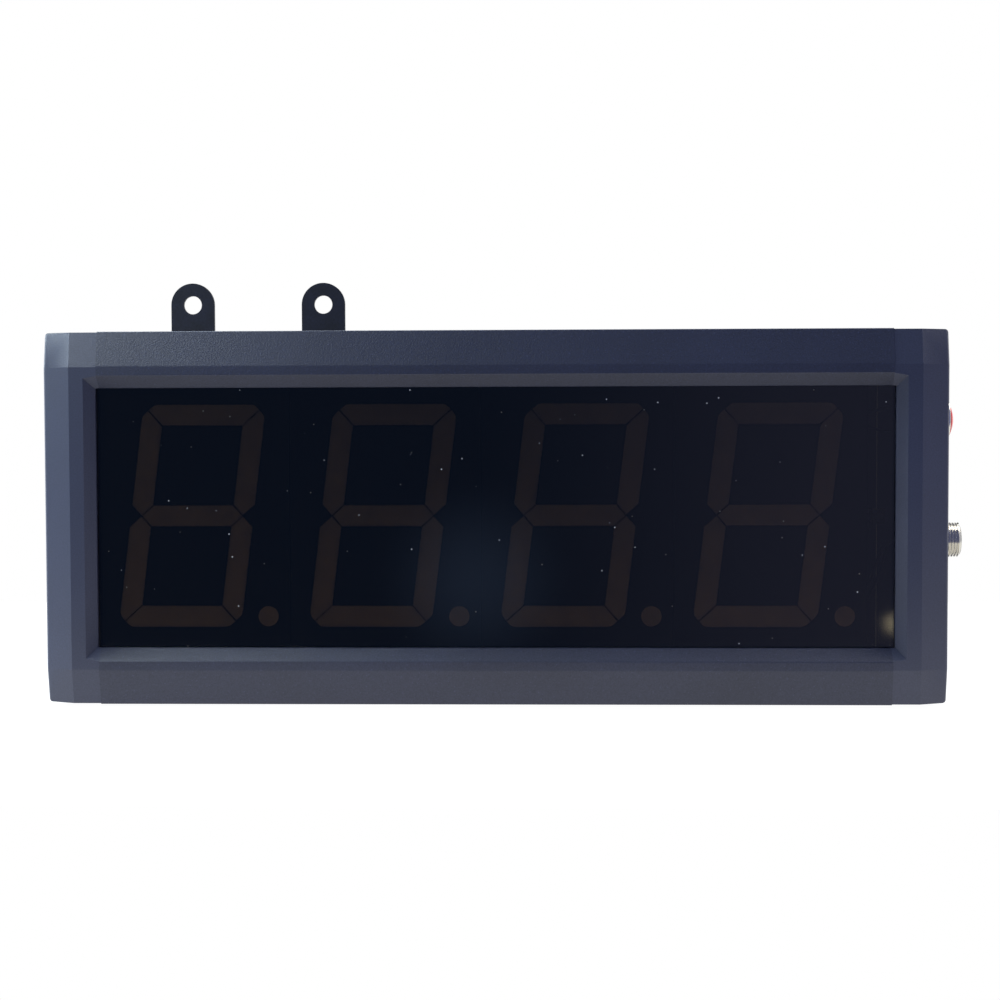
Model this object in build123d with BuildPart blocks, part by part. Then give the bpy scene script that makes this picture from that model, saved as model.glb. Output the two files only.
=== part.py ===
from build123d import *
import os
from math import radians, sqrt, tan

# Gym round timer: two extruded aluminium rails and two moulded end caps frame a smoked window.
# Four seven-segment digit modules stand on one circuit board behind it, two hanging lugs slide
# in the top rail's T-slot, and a push button and a threaded socket sit in the right end cap.
# Frame: +X to the reader's right, +Y towards the wall, +Z up, and the origin at the centre of the
# back face. Everything is in millimetres.

os.makedirs("parts", exist_ok=True)

# ---------------------------------------------------------------- driving dimensions
HALF_WIDTH = 205.0
HALF_HEIGHT = 84.8
DEPTH = 45.0
FRONT = -DEPTH

# Front moulding, seen from outside to inside: sloped band, flat, bevel down to the window lip.
BAND_SETBACK = 3.0
CREASE_Z = 69.0
FLAT_Z = 64.8
LIP_Z = 59.25
BEVEL_DEPTH = 5.6
LIP_Y = FRONT + BEVEL_DEPTH
BAND_LEAN = BAND_SETBACK / (HALF_HEIGHT - CREASE_Z)
BAND_STRETCH = sqrt(1 + BAND_LEAN**2)

# Extruded rail
RAIL_END = 179.5
RAIL_WALL = 1.8
T_FRONT, T_BACK = -16.0, -4.0
T_MOUTH_FRONT, T_MOUTH_BACK = -13.0, -6.0
T_FLOOR_TOP = 80.0
T_FLOOR_BOTTOM = 78.2
RAIL_TOP_INNER = HALF_HEIGHT - RAIL_WALL
SKIN_TOP_Y = FRONT + BAND_SETBACK + RAIL_WALL * (BAND_STRETCH - BAND_LEAN)
SKIN_CREASE_Z = CREASE_Z - RAIL_WALL * (BAND_STRETCH - 1) / BAND_LEAN
NOSE_WALL = 0.8
INNER_WALL = 1.6
FIN_END_Z = 71.5
FIN_FRONT, FIN_BACK = 1.8, 0.1
WALL_OVERLAP = 0.5
PORT_RADIUS = 4.0
PORT_HOLE_RADIUS = 2.0
GROOVE_BOTTOM, GROOVE_TOP = 75.2, T_FLOOR_BOTTOM
GROOVE_DEPTH = 10.0
GROOVE_WALL = 1.8
FRONT_PORT = (-27.5, 77.6)
PORT_WEB = 2.0
REAR_PORT = (-8.0, GROOVE_BOTTOM - GROOVE_WALL - PORT_RADIUS + 0.6)

# Window pane and the groove that holds it
PANE_FRONT, PANE_BACK = -37.45, -34.95
PANE_HALF_X, PANE_HALF_Z = 184.6, 63.0
PANE_PLAY = 0.1
PANE_GROOVE_Z = 63.4
PANE_RIB_BACK = -33.2

# Back panel
PANEL_THICKNESS = 1.5
PANEL_GAP = 0.15

# Digit modules and their board
DIGITS = 4
PITCH = 87.65
MODULE_LEFT = -180.85
MODULE_WIDTH, MODULE_HEIGHT = 87.45, 120.0
MODULE_FRONT, MODULE_BACK = -34.4, -18.4
DIGIT_CENTRE_X, DIGIT_CENTRE_Z = 42.5, 0.8
DIGIT_WIDTH, DIGIT_HEIGHT = 56.1, 101.6
STROKE = 9.3
CORNER_CUT = 5.6
SEGMENT_GAP = 0.8
SLANT = tan(radians(6.9))
POINT_RADIUS, POINT_X, POINT_Z = 4.65, 34.8, -46.15
SEGMENT_DEPTH = 9.0
BOARD_FRONT, BOARD_BACK = MODULE_BACK, -16.8
BOARD_LEFT, BOARD_RIGHT, BOARD_HALF_Z = -178.8, 170.6, 76.0
PIN_RADIUS, PIN_HOLE_RADIUS = 0.4, 0.5
PIN_PITCH, PIN_ROW_Z, PINS_PER_ROW = 12.7, 56.0, 5

# End caps
CAP_INSET = 0.35
CAP_WALL = 2.2
CAP_SIDE_WALL = 2.5
CAP_CREASE_X = 192.0
CAP_CREST_X = 185.6
CAP_LIP_X = 181.3
CAP_CHAMFER = 5.5
CAP_CORNER_RADIUS = 2.0
CAP_RIB_X = 186.6
MODULE_ROOM_Z = 61.6
CAP_MITRE_Z = 63.7
CAP_BOSS_RADIUS = 5.2
CAP_SCREW_SEAT_X = 196.0
CAP_SCREW_HOLE = 2.1
CAP_SCREW_POCKET = 3.9

# Fasteners
SCREW_SHANK, SCREW_LENGTH, SCREW_HEAD, SCREW_HEAD_HEIGHT = 1.95, 25.0, 3.7, 2.6
PANEL_SCREW_SHANK, PANEL_SCREW_HEAD, PANEL_SCREW_LENGTH = 1.45, 2.8, 9.5
PANEL_SCREW_Z = (GROOVE_BOTTOM + GROOVE_TOP) / 2
PANEL_SCREW_X = (-165.0, 0.0, 165.0)
DRIVE_RADIUS, DRIVE_DEPTH = 1.1, 1.2
PANEL_DRIVE_LENGTH, PANEL_DRIVE_WIDTH, PANEL_DRIVE_DEPTH = 2.8, 0.7, 1.0

# Hanging lugs
LUG_X = (-142.5, -80.8)
LUG_WIDTH, LUG_THICKNESS, LUG_HOLE_RADIUS = 20.4, 2.0, 4.25
LUG_HOLE_Z = 98.9
LUG_EAR_FRONT, LUG_EAR_BACK = -8.4, -6.4
LUG_FOOT_FRONT, LUG_FOOT_BOTTOM, LUG_FOOT_TOP = -15.7, 80.8, 82.8
LUG_SCREW_Y, LUG_SCREW_RADIUS, LUG_SCREW_LENGTH = -10.7, 2.0, 4.6
HEX_SOCKET, HEX_SOCKET_DEPTH = 1.0, 2.0
LUG_SCREW_PLAY = 0.05

# Push button and socket, both on axes along X through the right end cap
SIDE_Y = -22.0
BUTTON_Z, SOCKET_Z = 43.8, -11.3
BUTTON_TOP = 210.1
BUTTON_DOME_RADIUS = 15.0
BUTTON_CAP_RADIUS, BUTTON_BORE_RADIUS = 7.8, 7.88
BUTTON_BARREL_RADIUS, BUTTON_FLANGE_RADIUS = 9.5, 11.5
BUTTON_FLANGE_TOP = 207.0
BUTTON_BARREL_END = 187.0
BUTTON_FLANGE_ROUND = 0.8
BUTTON_BORE_FLOOR, GUIDE_FLOOR, GUIDE_DEPTH, GUIDE_RADIUS = 7.5, 2.0, 6.0, 3.05
TERMINAL_Z, TERMINAL_DEPTH = 5.5, 4.0
TERMINAL_HALF_Y, TERMINAL_HALF_Z, TERMINAL_PLAY = 1.4, 0.4, 0.05
BUTTON_CAVITY_RADIUS = 6.2
PLUNGER_START = 5.3
SOCKET_RADIUS, SOCKET_TOP, SOCKET_END = 8.0, 213.2, 193.0
NUT_THICKNESS, WASHER_THICKNESS = 2.3, 0.7
INNER_SIDE = HALF_WIDTH - CAP_SIDE_WALL


def slab(y_low, y_high, z_low, z_high, mode=Mode.ADD):
    """Draw an upright rectangle in a YZ section from its four limits."""
    with Locations(((y_low + y_high) / 2, (z_low + z_high) / 2)):
        Rectangle(y_high - y_low, z_high - z_low, mode=mode)


def block(x_low, x_high, y_low, y_high, z_low, z_high, mode=Mode.ADD):
    """Add or cut a box given by its six limits."""
    with Locations(((x_low + x_high) / 2, (y_low + y_high) / 2, (z_low + z_high) / 2)):
        Box(x_high - x_low, y_high - y_low, z_high - z_low, mode=mode)


def side_plane(x, z):
    """Plane across a fitting of the right end cap, its normal pointing out of the cap."""
    return Plane(origin=(x, SIDE_Y, z), x_dir=(0, 1, 0), z_dir=(1, 0, 0))


# ---------------------------------------------------------------- rails
with BuildPart() as top_rail:
    with BuildSketch(Plane.YZ.offset(-RAIL_END)):
        # Outer skin: sloped band, then the top wall back to the wall face
        with BuildLine():
            Polyline(
                (FRONT, FLAT_Z), (FRONT, CREASE_Z), (FRONT + BAND_SETBACK, HALF_HEIGHT),
                (0, HALF_HEIGHT), (0, RAIL_TOP_INNER), (SKIN_TOP_Y, RAIL_TOP_INNER),
                (FRONT + RAIL_WALL, SKIN_CREASE_Z), (FRONT + RAIL_WALL, FLAT_Z), close=True,
            )
        make_face()
        # Nose with the bevel, and the web and fin behind the pane's edge
        with BuildLine():
            Polyline(
                (LIP_Y, LIP_Z), (FRONT, FLAT_Z), (FRONT, FLAT_Z + NOSE_WALL),
                (PANE_RIB_BACK, FLAT_Z + NOSE_WALL),
                (PANE_RIB_BACK, LIP_Z + RAIL_WALL), (PANE_BACK + PANE_PLAY, LIP_Z + RAIL_WALL),
                (PANE_BACK + PANE_PLAY, PANE_GROOVE_Z), (PANE_FRONT - PANE_PLAY, PANE_GROOVE_Z),
                (PANE_FRONT - PANE_PLAY, LIP_Z), close=True,
            )
        make_face()
        # Fins that hold the board's edge
        slab(BOARD_FRONT - FIN_FRONT, BOARD_FRONT - FIN_BACK, FIN_END_Z, RAIL_TOP_INNER + WALL_OVERLAP)
        slab(BOARD_BACK + FIN_BACK, BOARD_BACK + FIN_FRONT, FIN_END_Z, T_FLOOR_TOP)
        # T-slot: front wall, floor and rear wall
        slab(T_FRONT - INNER_WALL, T_FRONT, T_FLOOR_BOTTOM, RAIL_TOP_INNER + WALL_OVERLAP)
        slab(T_FRONT - INNER_WALL, -PANEL_THICKNESS, T_FLOOR_BOTTOM, T_FLOOR_TOP)
        slab(T_BACK, -PANEL_THICKNESS, T_FLOOR_BOTTOM, RAIL_TOP_INNER + WALL_OVERLAP)
        slab(T_MOUTH_FRONT, T_MOUTH_BACK, RAIL_TOP_INNER, HALF_HEIGHT, mode=Mode.SUBTRACT)
        # Groove for the back panel's screws
        slab(-GROOVE_DEPTH - INNER_WALL, -PANEL_THICKNESS, GROOVE_BOTTOM - GROOVE_WALL, GROOVE_BOTTOM)
        slab(-GROOVE_DEPTH - INNER_WALL, -GROOVE_DEPTH, GROOVE_BOTTOM - GROOVE_WALL, GROOVE_TOP)
        # Screw ports for the end caps
        web_left, web_right = FRONT_PORT[0] - PORT_WEB / 2, FRONT_PORT[0] + PORT_WEB / 2
        slab(web_left, web_right, FRONT_PORT[1], RAIL_TOP_INNER + WALL_OVERLAP)
        with Locations(FRONT_PORT, REAR_PORT):
            Circle(PORT_RADIUS)
        with Locations(FRONT_PORT, REAR_PORT):
            Circle(PORT_HOLE_RADIUS, mode=Mode.SUBTRACT)
    extrude(amount=2 * RAIL_END)
top_rail.part.label = "top_rail"
export_step(top_rail.part, "parts/top_rail.step")

# The bottom rail is the same extrusion turned over about the front-to-back axis.
with BuildPart() as bottom_rail:
    add(top_rail.part.rotate(Axis.Y, 180))
bottom_rail.part.label = "bottom_rail"
export_step(bottom_rail.part, "parts/bottom_rail.step")


# ---------------------------------------------------------------- end caps
def cap_outline(setback, wall=0.0):
    """Draw the end cap's section, its front moved back by setback and every side in by wall."""
    top = HALF_HEIGHT - CAP_INSET
    crease = CREASE_Z - CAP_INSET
    front = FRONT + 0.1 + setback
    Polygon(
        (front, -crease), (front, crease), (front + BAND_SETBACK, top), (0, top),
        (0, -top), (front + BAND_SETBACK, -top), align=None,
    )
    if wall:
        offset(amount=-wall, kind=Kind.INTERSECTION, mode=Mode.REPLACE)


# Wedge that opens the cap's front towards the window, with mitred upper and lower facets
with BuildPart() as window_cut:
    block(RAIL_END - 1, CAP_CREST_X + 1, FRONT - 1, LIP_Y, -FLAT_Z - 1, FLAT_Z + 1)
    split(
        bisect_by=Plane(origin=(CAP_CREST_X, FRONT, 0), z_dir=(-BEVEL_DEPTH, CAP_LIP_X - CAP_CREST_X, 0)),
        keep=Keep.TOP,
    )
    for side in (1, -1):
        crest = Vector(CAP_CREST_X, FRONT, side * CAP_MITRE_Z)
        rail_crest = Vector(RAIL_END, FRONT, side * FLAT_Z)
        rail_lip = Vector(RAIL_END, LIP_Y, side * LIP_Z)
        facet = (rail_crest - crest).cross(rail_lip - crest)
        split(bisect_by=Plane(origin=crest, z_dir=facet * side), keep=Keep.TOP)

with BuildPart() as cap_blank:
    with BuildSketch(Plane.YZ.offset(RAIL_END)):
        cap_outline(0)
    extrude(amount=CAP_CREASE_X - RAIL_END)
    with BuildSketch(Plane.YZ.offset(CAP_CREASE_X)):
        cap_outline(0)
    with BuildSketch(Plane.YZ.offset(HALF_WIDTH)):
        cap_outline(CAP_CHAMFER)
    loft(ruled=True)
    outer_face = cap_blank.faces().sort_by(Axis.X)[-1]
    fillet(outer_face.edges(), CAP_CORNER_RADIUS)
    # Hollow, open towards the rails
    with BuildSketch(Plane.YZ.offset(RAIL_END)):
        cap_outline(0, CAP_WALL)
    extrude(amount=CAP_CREASE_X - RAIL_END, mode=Mode.SUBTRACT)
    with BuildSketch(Plane.YZ.offset(CAP_CREASE_X)):
        cap_outline(0, CAP_WALL)
    inner_setback = CAP_CHAMFER * (INNER_SIDE - CAP_CREASE_X) / (HALF_WIDTH - CAP_CREASE_X)
    with BuildSketch(Plane.YZ.offset(INNER_SIDE)):
        cap_outline(inner_setback, CAP_WALL)
    loft(ruled=True, mode=Mode.SUBTRACT)
    # Rib with the groove for the pane's end
    block(RAIL_END, CAP_RIB_X, FRONT + 0.2, PANE_RIB_BACK, -CREASE_Z + 1, CREASE_Z - 1)
    add(window_cut.part, mode=Mode.SUBTRACT)
    block(RAIL_END, CAP_LIP_X, LIP_Y - 0.1, PANE_RIB_BACK, -LIP_Z, LIP_Z, mode=Mode.SUBTRACT)
    block(RAIL_END, CAP_LIP_X, PANE_FRONT, PANE_RIB_BACK, -MODULE_ROOM_Z, MODULE_ROOM_Z, mode=Mode.SUBTRACT)
    block(
        RAIL_END, PANE_HALF_X + 0.4, PANE_FRONT - PANE_PLAY, PANE_BACK + PANE_PLAY,
        -PANE_GROOVE_Z, PANE_GROOVE_Z, mode=Mode.SUBTRACT,
    )
    # Bosses for the four long screws, each with a deep pocket for its head
    boss_points = [(y, side * z) for y, z in (FRONT_PORT, REAR_PORT) for side in (1, -1)]
    with BuildSketch(Plane.YZ.offset(RAIL_END)):
        with Locations(*boss_points):
            Circle(CAP_BOSS_RADIUS)
    extrude(amount=INNER_SIDE + 1.5 - RAIL_END)
    with BuildSketch(Plane.YZ.offset(RAIL_END)):
        with Locations(*boss_points):
            Circle(CAP_SCREW_HOLE)
    extrude(amount=HALF_WIDTH - RAIL_END, mode=Mode.SUBTRACT)
    with BuildSketch(Plane.YZ.offset(CAP_SCREW_SEAT_X)):
        with Locations(*boss_points):
            Circle(CAP_SCREW_POCKET)
    extrude(amount=HALF_WIDTH - CAP_SCREW_SEAT_X, mode=Mode.SUBTRACT)

with BuildPart() as left_end_cap:
    mirror(cap_blank.part, about=Plane.YZ)
left_end_cap.part.label = "left_end_cap"
export_step(left_end_cap.part, "parts/left_end_cap.step")

with BuildPart() as right_end_cap:
    add(cap_blank.part)
    for z, radius in ((BUTTON_Z, BUTTON_BARREL_RADIUS), (SOCKET_Z, SOCKET_RADIUS)):
        with BuildSketch(side_plane(INNER_SIDE - 1, z)):
            Circle(radius + 0.15)
        extrude(amount=CAP_SIDE_WALL + 2, mode=Mode.SUBTRACT)
right_end_cap.part.label = "right_end_cap"
export_step(right_end_cap.part, "parts/right_end_cap.step")

with BuildPart() as cap_screws:
    for outward, turn in ((1, 0), (-1, 180)):
        for y, z in boss_points:
            seat = Plane(origin=(outward * CAP_SCREW_SEAT_X, y, z), x_dir=(0, 1, 0), z_dir=(outward, 0, 0))
            with BuildSketch(seat.offset(-SCREW_LENGTH)):
                Circle(SCREW_SHANK)
            extrude(amount=SCREW_LENGTH)
            with BuildSketch(seat):
                Circle(SCREW_HEAD)
            extrude(amount=SCREW_HEAD_HEIGHT)
            with BuildSketch(seat.offset(SCREW_HEAD_HEIGHT - DRIVE_DEPTH)):
                Rectangle(4 * DRIVE_RADIUS, DRIVE_RADIUS)
                Rectangle(DRIVE_RADIUS, 4 * DRIVE_RADIUS)
            extrude(amount=DRIVE_DEPTH, mode=Mode.SUBTRACT)
cap_screws.part.label = "cap_screws"
export_step(cap_screws.part, "parts/cap_screws.step")

# ---------------------------------------------------------------- window and back panel
with BuildPart() as window_pane:
    block(-PANE_HALF_X, PANE_HALF_X, PANE_FRONT, PANE_BACK, -PANE_HALF_Z, PANE_HALF_Z)
window_pane.part.label = "window_pane"
export_step(window_pane.part, "parts/window_pane.step")

BUZZER_X, BUZZER_Z = 112.0, -8.0
SOUND_HOLE_RADIUS, SOUND_RING_RADIUS, SOUND_HOLES = 1.6, 8.0, 8
panel_screw_points = [(x, side * PANEL_SCREW_Z) for x in PANEL_SCREW_X for side in (1, -1)]
PANEL_HALF_X = RAIL_END - PANEL_GAP
PANEL_HALF_Z = RAIL_TOP_INNER - PANEL_GAP
wall_plane = Plane(origin=(0, 0, 0), x_dir=(-1, 0, 0), z_dir=(0, 1, 0))

with BuildPart() as back_panel:
    block(-PANEL_HALF_X, PANEL_HALF_X, -PANEL_THICKNESS, 0, -PANEL_HALF_Z, PANEL_HALF_Z)
    with Locations(wall_plane):
        with Locations(*[(-x, z) for x, z in panel_screw_points]):
            CounterSinkHole(
                radius=PANEL_SCREW_SHANK + 0.15, counter_sink_radius=PANEL_SCREW_HEAD + 0.1,
                depth=PANEL_THICKNESS,
            )
        with Locations((-BUZZER_X, BUZZER_Z)):
            Hole(SOUND_HOLE_RADIUS)
            with PolarLocations(SOUND_RING_RADIUS, SOUND_HOLES):
                Hole(SOUND_HOLE_RADIUS)
back_panel.part.label = "back_panel"
export_step(back_panel.part, "parts/back_panel.step")

with BuildPart() as back_panel_screws:
    for x, z in panel_screw_points:
        head_cone = PANEL_SCREW_HEAD - PANEL_SCREW_SHANK
        with BuildSketch(Plane(origin=(x, 0, z), x_dir=(1, 0, 0), z_dir=(0, -1, 0))):
            Circle(PANEL_SCREW_HEAD)
        extrude(amount=head_cone, taper=45)
        with BuildSketch(Plane(origin=(x, -head_cone, z), x_dir=(1, 0, 0), z_dir=(0, -1, 0))):
            Circle(PANEL_SCREW_SHANK)
        extrude(amount=PANEL_SCREW_LENGTH - head_cone)
        with BuildSketch(Plane(origin=(x, 0, z), x_dir=(1, 0, 0), z_dir=(0, -1, 0))):
            Rectangle(PANEL_DRIVE_LENGTH, PANEL_DRIVE_WIDTH)
            Rectangle(PANEL_DRIVE_WIDTH, PANEL_DRIVE_LENGTH)
        extrude(amount=PANEL_DRIVE_DEPTH, mode=Mode.SUBTRACT)
back_panel_screws.part.label = "back_panel_screws"
export_step(back_panel_screws.part, "parts/back_panel_screws.step")


# ---------------------------------------------------------------- digit modules
def bar_outlines():
    """Outlines of the seven bars of an upright figure eight, about the figure's centre."""
    w = DIGIT_WIDTH / 2 + SEGMENT_GAP / 2
    h = DIGIT_HEIGHT / 2 + SEGMENT_GAP / 2
    t, c = STROKE + SEGMENT_GAP, CORNER_CUT
    top = [
        (c - w, h), (w - c, h), (w - c / 2, h - c / 2),
        (w - t, h - t), (t - w, h - t), (c / 2 - w, h - c / 2),
    ]
    upper_right = [
        (w, h - c), (w - c / 2, h - c / 2), (w - t, h - t), (w - t, t / 2), (w - t / 2, 0), (w, t / 2),
    ]
    middle = [
        (w - t / 2, 0), (w - t, t / 2), (t - w, t / 2), (t / 2 - w, 0), (t - w, -t / 2), (w - t, -t / 2),
    ]
    bars = [top, upper_right, middle]
    bars.append([(x, -z) for x, z in top])
    bars.append([(-x, z) for x, z in upper_right])
    bars.append([(x, -z) for x, z in upper_right])
    bars.append([(-x, -z) for x, z in upper_right])
    return bars


def digit_sketch():
    """Draw the seven slanted bars, each pulled in by half the gap, and the decimal point."""
    for outline in bar_outlines():
        with BuildSketch() as bar:
            Polygon(*[(x + SLANT * z, z) for x, z in outline], align=None)
            offset(amount=-SEGMENT_GAP / 2, kind=Kind.INTERSECTION, mode=Mode.REPLACE)
        add(bar.sketch)
    with Locations((POINT_X, POINT_Z)):
        Circle(POINT_RADIUS)


def digit_plane(index, y):
    """Plane of one module's face at depth y, centred on its digit, its normal to the front."""
    centre_x = MODULE_LEFT + index * PITCH + DIGIT_CENTRE_X
    return Plane(origin=(centre_x, y, DIGIT_CENTRE_Z), x_dir=(1, 0, 0), z_dir=(0, -1, 0))


def pin_points(index):
    """Places of one module's pins, in two rows above and below the digit."""
    centre = MODULE_LEFT + index * PITCH + MODULE_WIDTH / 2
    middle = (PINS_PER_ROW - 1) / 2
    return [
        (centre + (column - middle) * PIN_PITCH, DIGIT_CENTRE_Z + side * PIN_ROW_Z)
        for column in range(PINS_PER_ROW) for side in (1, -1)
    ]


for index in range(DIGITS):
    left = MODULE_LEFT + index * PITCH
    with BuildPart() as digit_segments:
        with BuildSketch(digit_plane(index, MODULE_FRONT + SEGMENT_DEPTH)):
            digit_sketch()
        extrude(amount=SEGMENT_DEPTH)
    digit_segments.part.label = f"digit_segments_{index + 1}"
    export_step(digit_segments.part, f"parts/digit_segments_{index + 1}.step")

    with BuildPart() as digit_module:
        block(
            left, left + MODULE_WIDTH, MODULE_FRONT, MODULE_BACK,
            DIGIT_CENTRE_Z - MODULE_HEIGHT / 2, DIGIT_CENTRE_Z + MODULE_HEIGHT / 2,
        )
        with BuildSketch(digit_plane(index, MODULE_FRONT + SEGMENT_DEPTH)):
            digit_sketch()
        extrude(amount=SEGMENT_DEPTH, mode=Mode.SUBTRACT)
    digit_module.part.label = f"digit_module_{index + 1}"
    export_step(digit_module.part, f"parts/digit_module_{index + 1}.step")

all_pins = [point for index in range(DIGITS) for point in pin_points(index)]
PIN_LENGTH = 3.4

with BuildPart() as digit_pins:
    with BuildSketch(Plane(origin=(0, MODULE_BACK, 0), x_dir=(-1, 0, 0), z_dir=(0, 1, 0))):
        with Locations(*[(-x, z) for x, z in all_pins]):
            Circle(PIN_RADIUS)
    extrude(amount=PIN_LENGTH)
digit_pins.part.label = "digit_pins"
export_step(digit_pins.part, "parts/digit_pins.step")

with BuildPart() as display_board:
    block(BOARD_LEFT, BOARD_RIGHT, BOARD_FRONT, BOARD_BACK, -BOARD_HALF_Z, BOARD_HALF_Z)
    with BuildSketch(Plane(origin=(0, BOARD_BACK, 0), x_dir=(-1, 0, 0), z_dir=(0, 1, 0))):
        with Locations(*[(-x, z) for x, z in all_pins]):
            Circle(PIN_HOLE_RADIUS)
    extrude(amount=BOARD_FRONT - BOARD_BACK, mode=Mode.SUBTRACT)
display_board.part.label = "display_board"
export_step(display_board.part, "parts/display_board.step")

# ---------------------------------------------------------------- parts on the board's rear side
CHIP_X, CHIP_Z = 20.0, 0.0
CHIP_SIZE, DRIVER_SIZE, DRIVER_Z = (26.0, 9.0, 3.2), (13.0, 6.2, 2.4), 32.0
LEG_PITCH, LEG_HALF_WIDTH, LEG_HEIGHT = 2.54, 0.3, 0.9
LEG_SINK, LEG_REACH, CHIP_STANDOFF = 0.2, 1.2, 0.2
CRYSTAL_OFFSET, CRYSTAL_LENGTH, CRYSTAL_WIDTH, CRYSTAL_HEIGHT = 22.0, 11.0, 4.6, 3.5
CAPACITORS = ((150.0, 18.0, 5.0, 11.5), (150.0, 4.0, 5.0, 11.5), (70.0, -18.0, 3.2, 7.0))
REGULATOR_LEFT, REGULATOR_RIGHT = 132.0, 142.0
REGULATOR_LEGS_Z, REGULATOR_Z, TAB_Z, TAB_END_Z = 0.5, 5.0, 14.0, 20.0
REGULATOR_HEIGHT, TAB_HEIGHT, REGULATOR_LEG_HEIGHT, REGULATOR_LEG_HALF = 4.6, 1.4, 1.8, 0.4
RESISTORS_PER_DIGIT, RESISTOR_PITCH = 8, 4.0
RESISTOR_HALF, RESISTOR_HEIGHT, RESISTOR_Z_LOW, RESISTOR_Z_HIGH = 0.8, 0.55, 42.0, 45.2
BUZZER_RADIUS, BUZZER_HEIGHT, BUZZER_PORT_RADIUS, BUZZER_PORT_DEPTH = 13.0, 12.0, 2.0, 8.0


def board_plane(x, z, height=0.0):
    """Plane parallel to the board, height behind its rear face, its normal to the wall."""
    return Plane(origin=(x, BOARD_BACK + height, z), x_dir=(1, 0, 0), z_dir=(0, 1, 0))


def chip(x, z, width, height, thickness):
    """A chip package that stands on the board's rear face, with a row of legs on both sides."""
    block(
        x - width / 2, x + width / 2, BOARD_BACK + CHIP_STANDOFF, BOARD_BACK + thickness,
        z - height / 2, z + height / 2,
    )
    legs = int(width // LEG_PITCH)
    for number in range(legs):
        leg_x = x + (number - (legs - 1) / 2) * LEG_PITCH
        for side in (1, -1):
            ends = sorted((z + side * (height / 2 - LEG_SINK), z + side * (height / 2 + LEG_REACH)))
            block(leg_x - LEG_HALF_WIDTH, leg_x + LEG_HALF_WIDTH, BOARD_BACK, BOARD_BACK + LEG_HEIGHT, *ends)


with BuildPart() as controller_chip:
    chip(CHIP_X, CHIP_Z, *CHIP_SIZE)
controller_chip.part.label = "controller_chip"
export_step(controller_chip.part, "parts/controller_chip.step")

with BuildPart() as driver_chips:
    for index in range(DIGITS):
        chip(MODULE_LEFT + (index + 0.5) * PITCH, DRIVER_Z, *DRIVER_SIZE)
driver_chips.part.label = "driver_chips"
export_step(driver_chips.part, "parts/driver_chips.step")

with BuildPart() as crystal:
    with BuildSketch(board_plane(CHIP_X + CRYSTAL_OFFSET, CHIP_Z)):
        SlotOverall(CRYSTAL_LENGTH, CRYSTAL_WIDTH)
    extrude(amount=CRYSTAL_HEIGHT)
crystal.part.label = "crystal"
export_step(crystal.part, "parts/crystal.step")

with BuildPart() as capacitors:
    for x, z, radius, length in CAPACITORS:
        with BuildSketch(board_plane(x, z)):
            Circle(radius)
        extrude(amount=length)
capacitors.part.label = "capacitors"
export_step(capacitors.part, "parts/capacitors.step")

with BuildPart() as voltage_regulator:
    for height, z_low, z_high in ((REGULATOR_HEIGHT, REGULATOR_Z, TAB_Z), (TAB_HEIGHT, TAB_Z, TAB_END_Z)):
        block(
            REGULATOR_LEFT, REGULATOR_RIGHT, BOARD_BACK + CHIP_STANDOFF / 2, BOARD_BACK + height,
            z_low, z_high,
        )
    for number in (-1, 0, 1):
        leg_x = (REGULATOR_LEFT + REGULATOR_RIGHT) / 2 + number * LEG_PITCH
        block(
            leg_x - REGULATOR_LEG_HALF, leg_x + REGULATOR_LEG_HALF,
            BOARD_BACK, BOARD_BACK + REGULATOR_LEG_HEIGHT, REGULATOR_LEGS_Z, REGULATOR_Z,
        )
voltage_regulator.part.label = "voltage_regulator"
export_step(voltage_regulator.part, "parts/voltage_regulator.step")

with BuildPart() as resistors:
    for index in range(DIGITS):
        centre = MODULE_LEFT + (index + 0.5) * PITCH
        for column in range(RESISTORS_PER_DIGIT):
            x = centre + (column - (RESISTORS_PER_DIGIT - 1) / 2) * RESISTOR_PITCH
            block(
                x - RESISTOR_HALF, x + RESISTOR_HALF, BOARD_BACK, BOARD_BACK + RESISTOR_HEIGHT,
                RESISTOR_Z_LOW, RESISTOR_Z_HIGH,
            )
resistors.part.label = "resistors"
export_step(resistors.part, "parts/resistors.step")

with BuildPart() as buzzer:
    with BuildSketch(board_plane(BUZZER_X, BUZZER_Z)):
        Circle(BUZZER_RADIUS)
    extrude(amount=BUZZER_HEIGHT)
    with BuildSketch(board_plane(BUZZER_X, BUZZER_Z, BUZZER_HEIGHT)):
        Circle(BUZZER_PORT_RADIUS)
    extrude(amount=-BUZZER_PORT_DEPTH, mode=Mode.SUBTRACT)
buzzer.part.label = "buzzer"
export_step(buzzer.part, "parts/buzzer.step")

HEADER_X, HEADER_HALF_X = 160.0, 3.0
POWER_HEADER_Z, BUTTON_HEADER_Z = -40.0, 44.0
HEADER_PITCH = 3.96
LEAD_RADIUS = 0.8
LEAD_Y = BOARD_BACK + 3.5


def header(centre_z):
    """Two-way side-entry connector: a housing on the board with two holes for the leads."""
    right_face = HEADER_X + HEADER_HALF_X
    block(
        HEADER_X - HEADER_HALF_X, right_face, BOARD_BACK, BOARD_BACK + 7,
        centre_z - HEADER_PITCH, centre_z + HEADER_PITCH,
    )
    for side in (1, -1):
        with Locations((right_face - 2, LEAD_Y, centre_z + side * HEADER_PITCH / 2)):
            Cylinder(LEAD_RADIUS + 0.1, 4.0, rotation=(0, 90, 0), mode=Mode.SUBTRACT)


with BuildPart() as power_header:
    header(POWER_HEADER_Z)
power_header.part.label = "power_header"
export_step(power_header.part, "parts/power_header.step")

with BuildPart() as button_header:
    header(BUTTON_HEADER_Z)
button_header.part.label = "button_header"
export_step(button_header.part, "parts/button_header.step")

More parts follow.
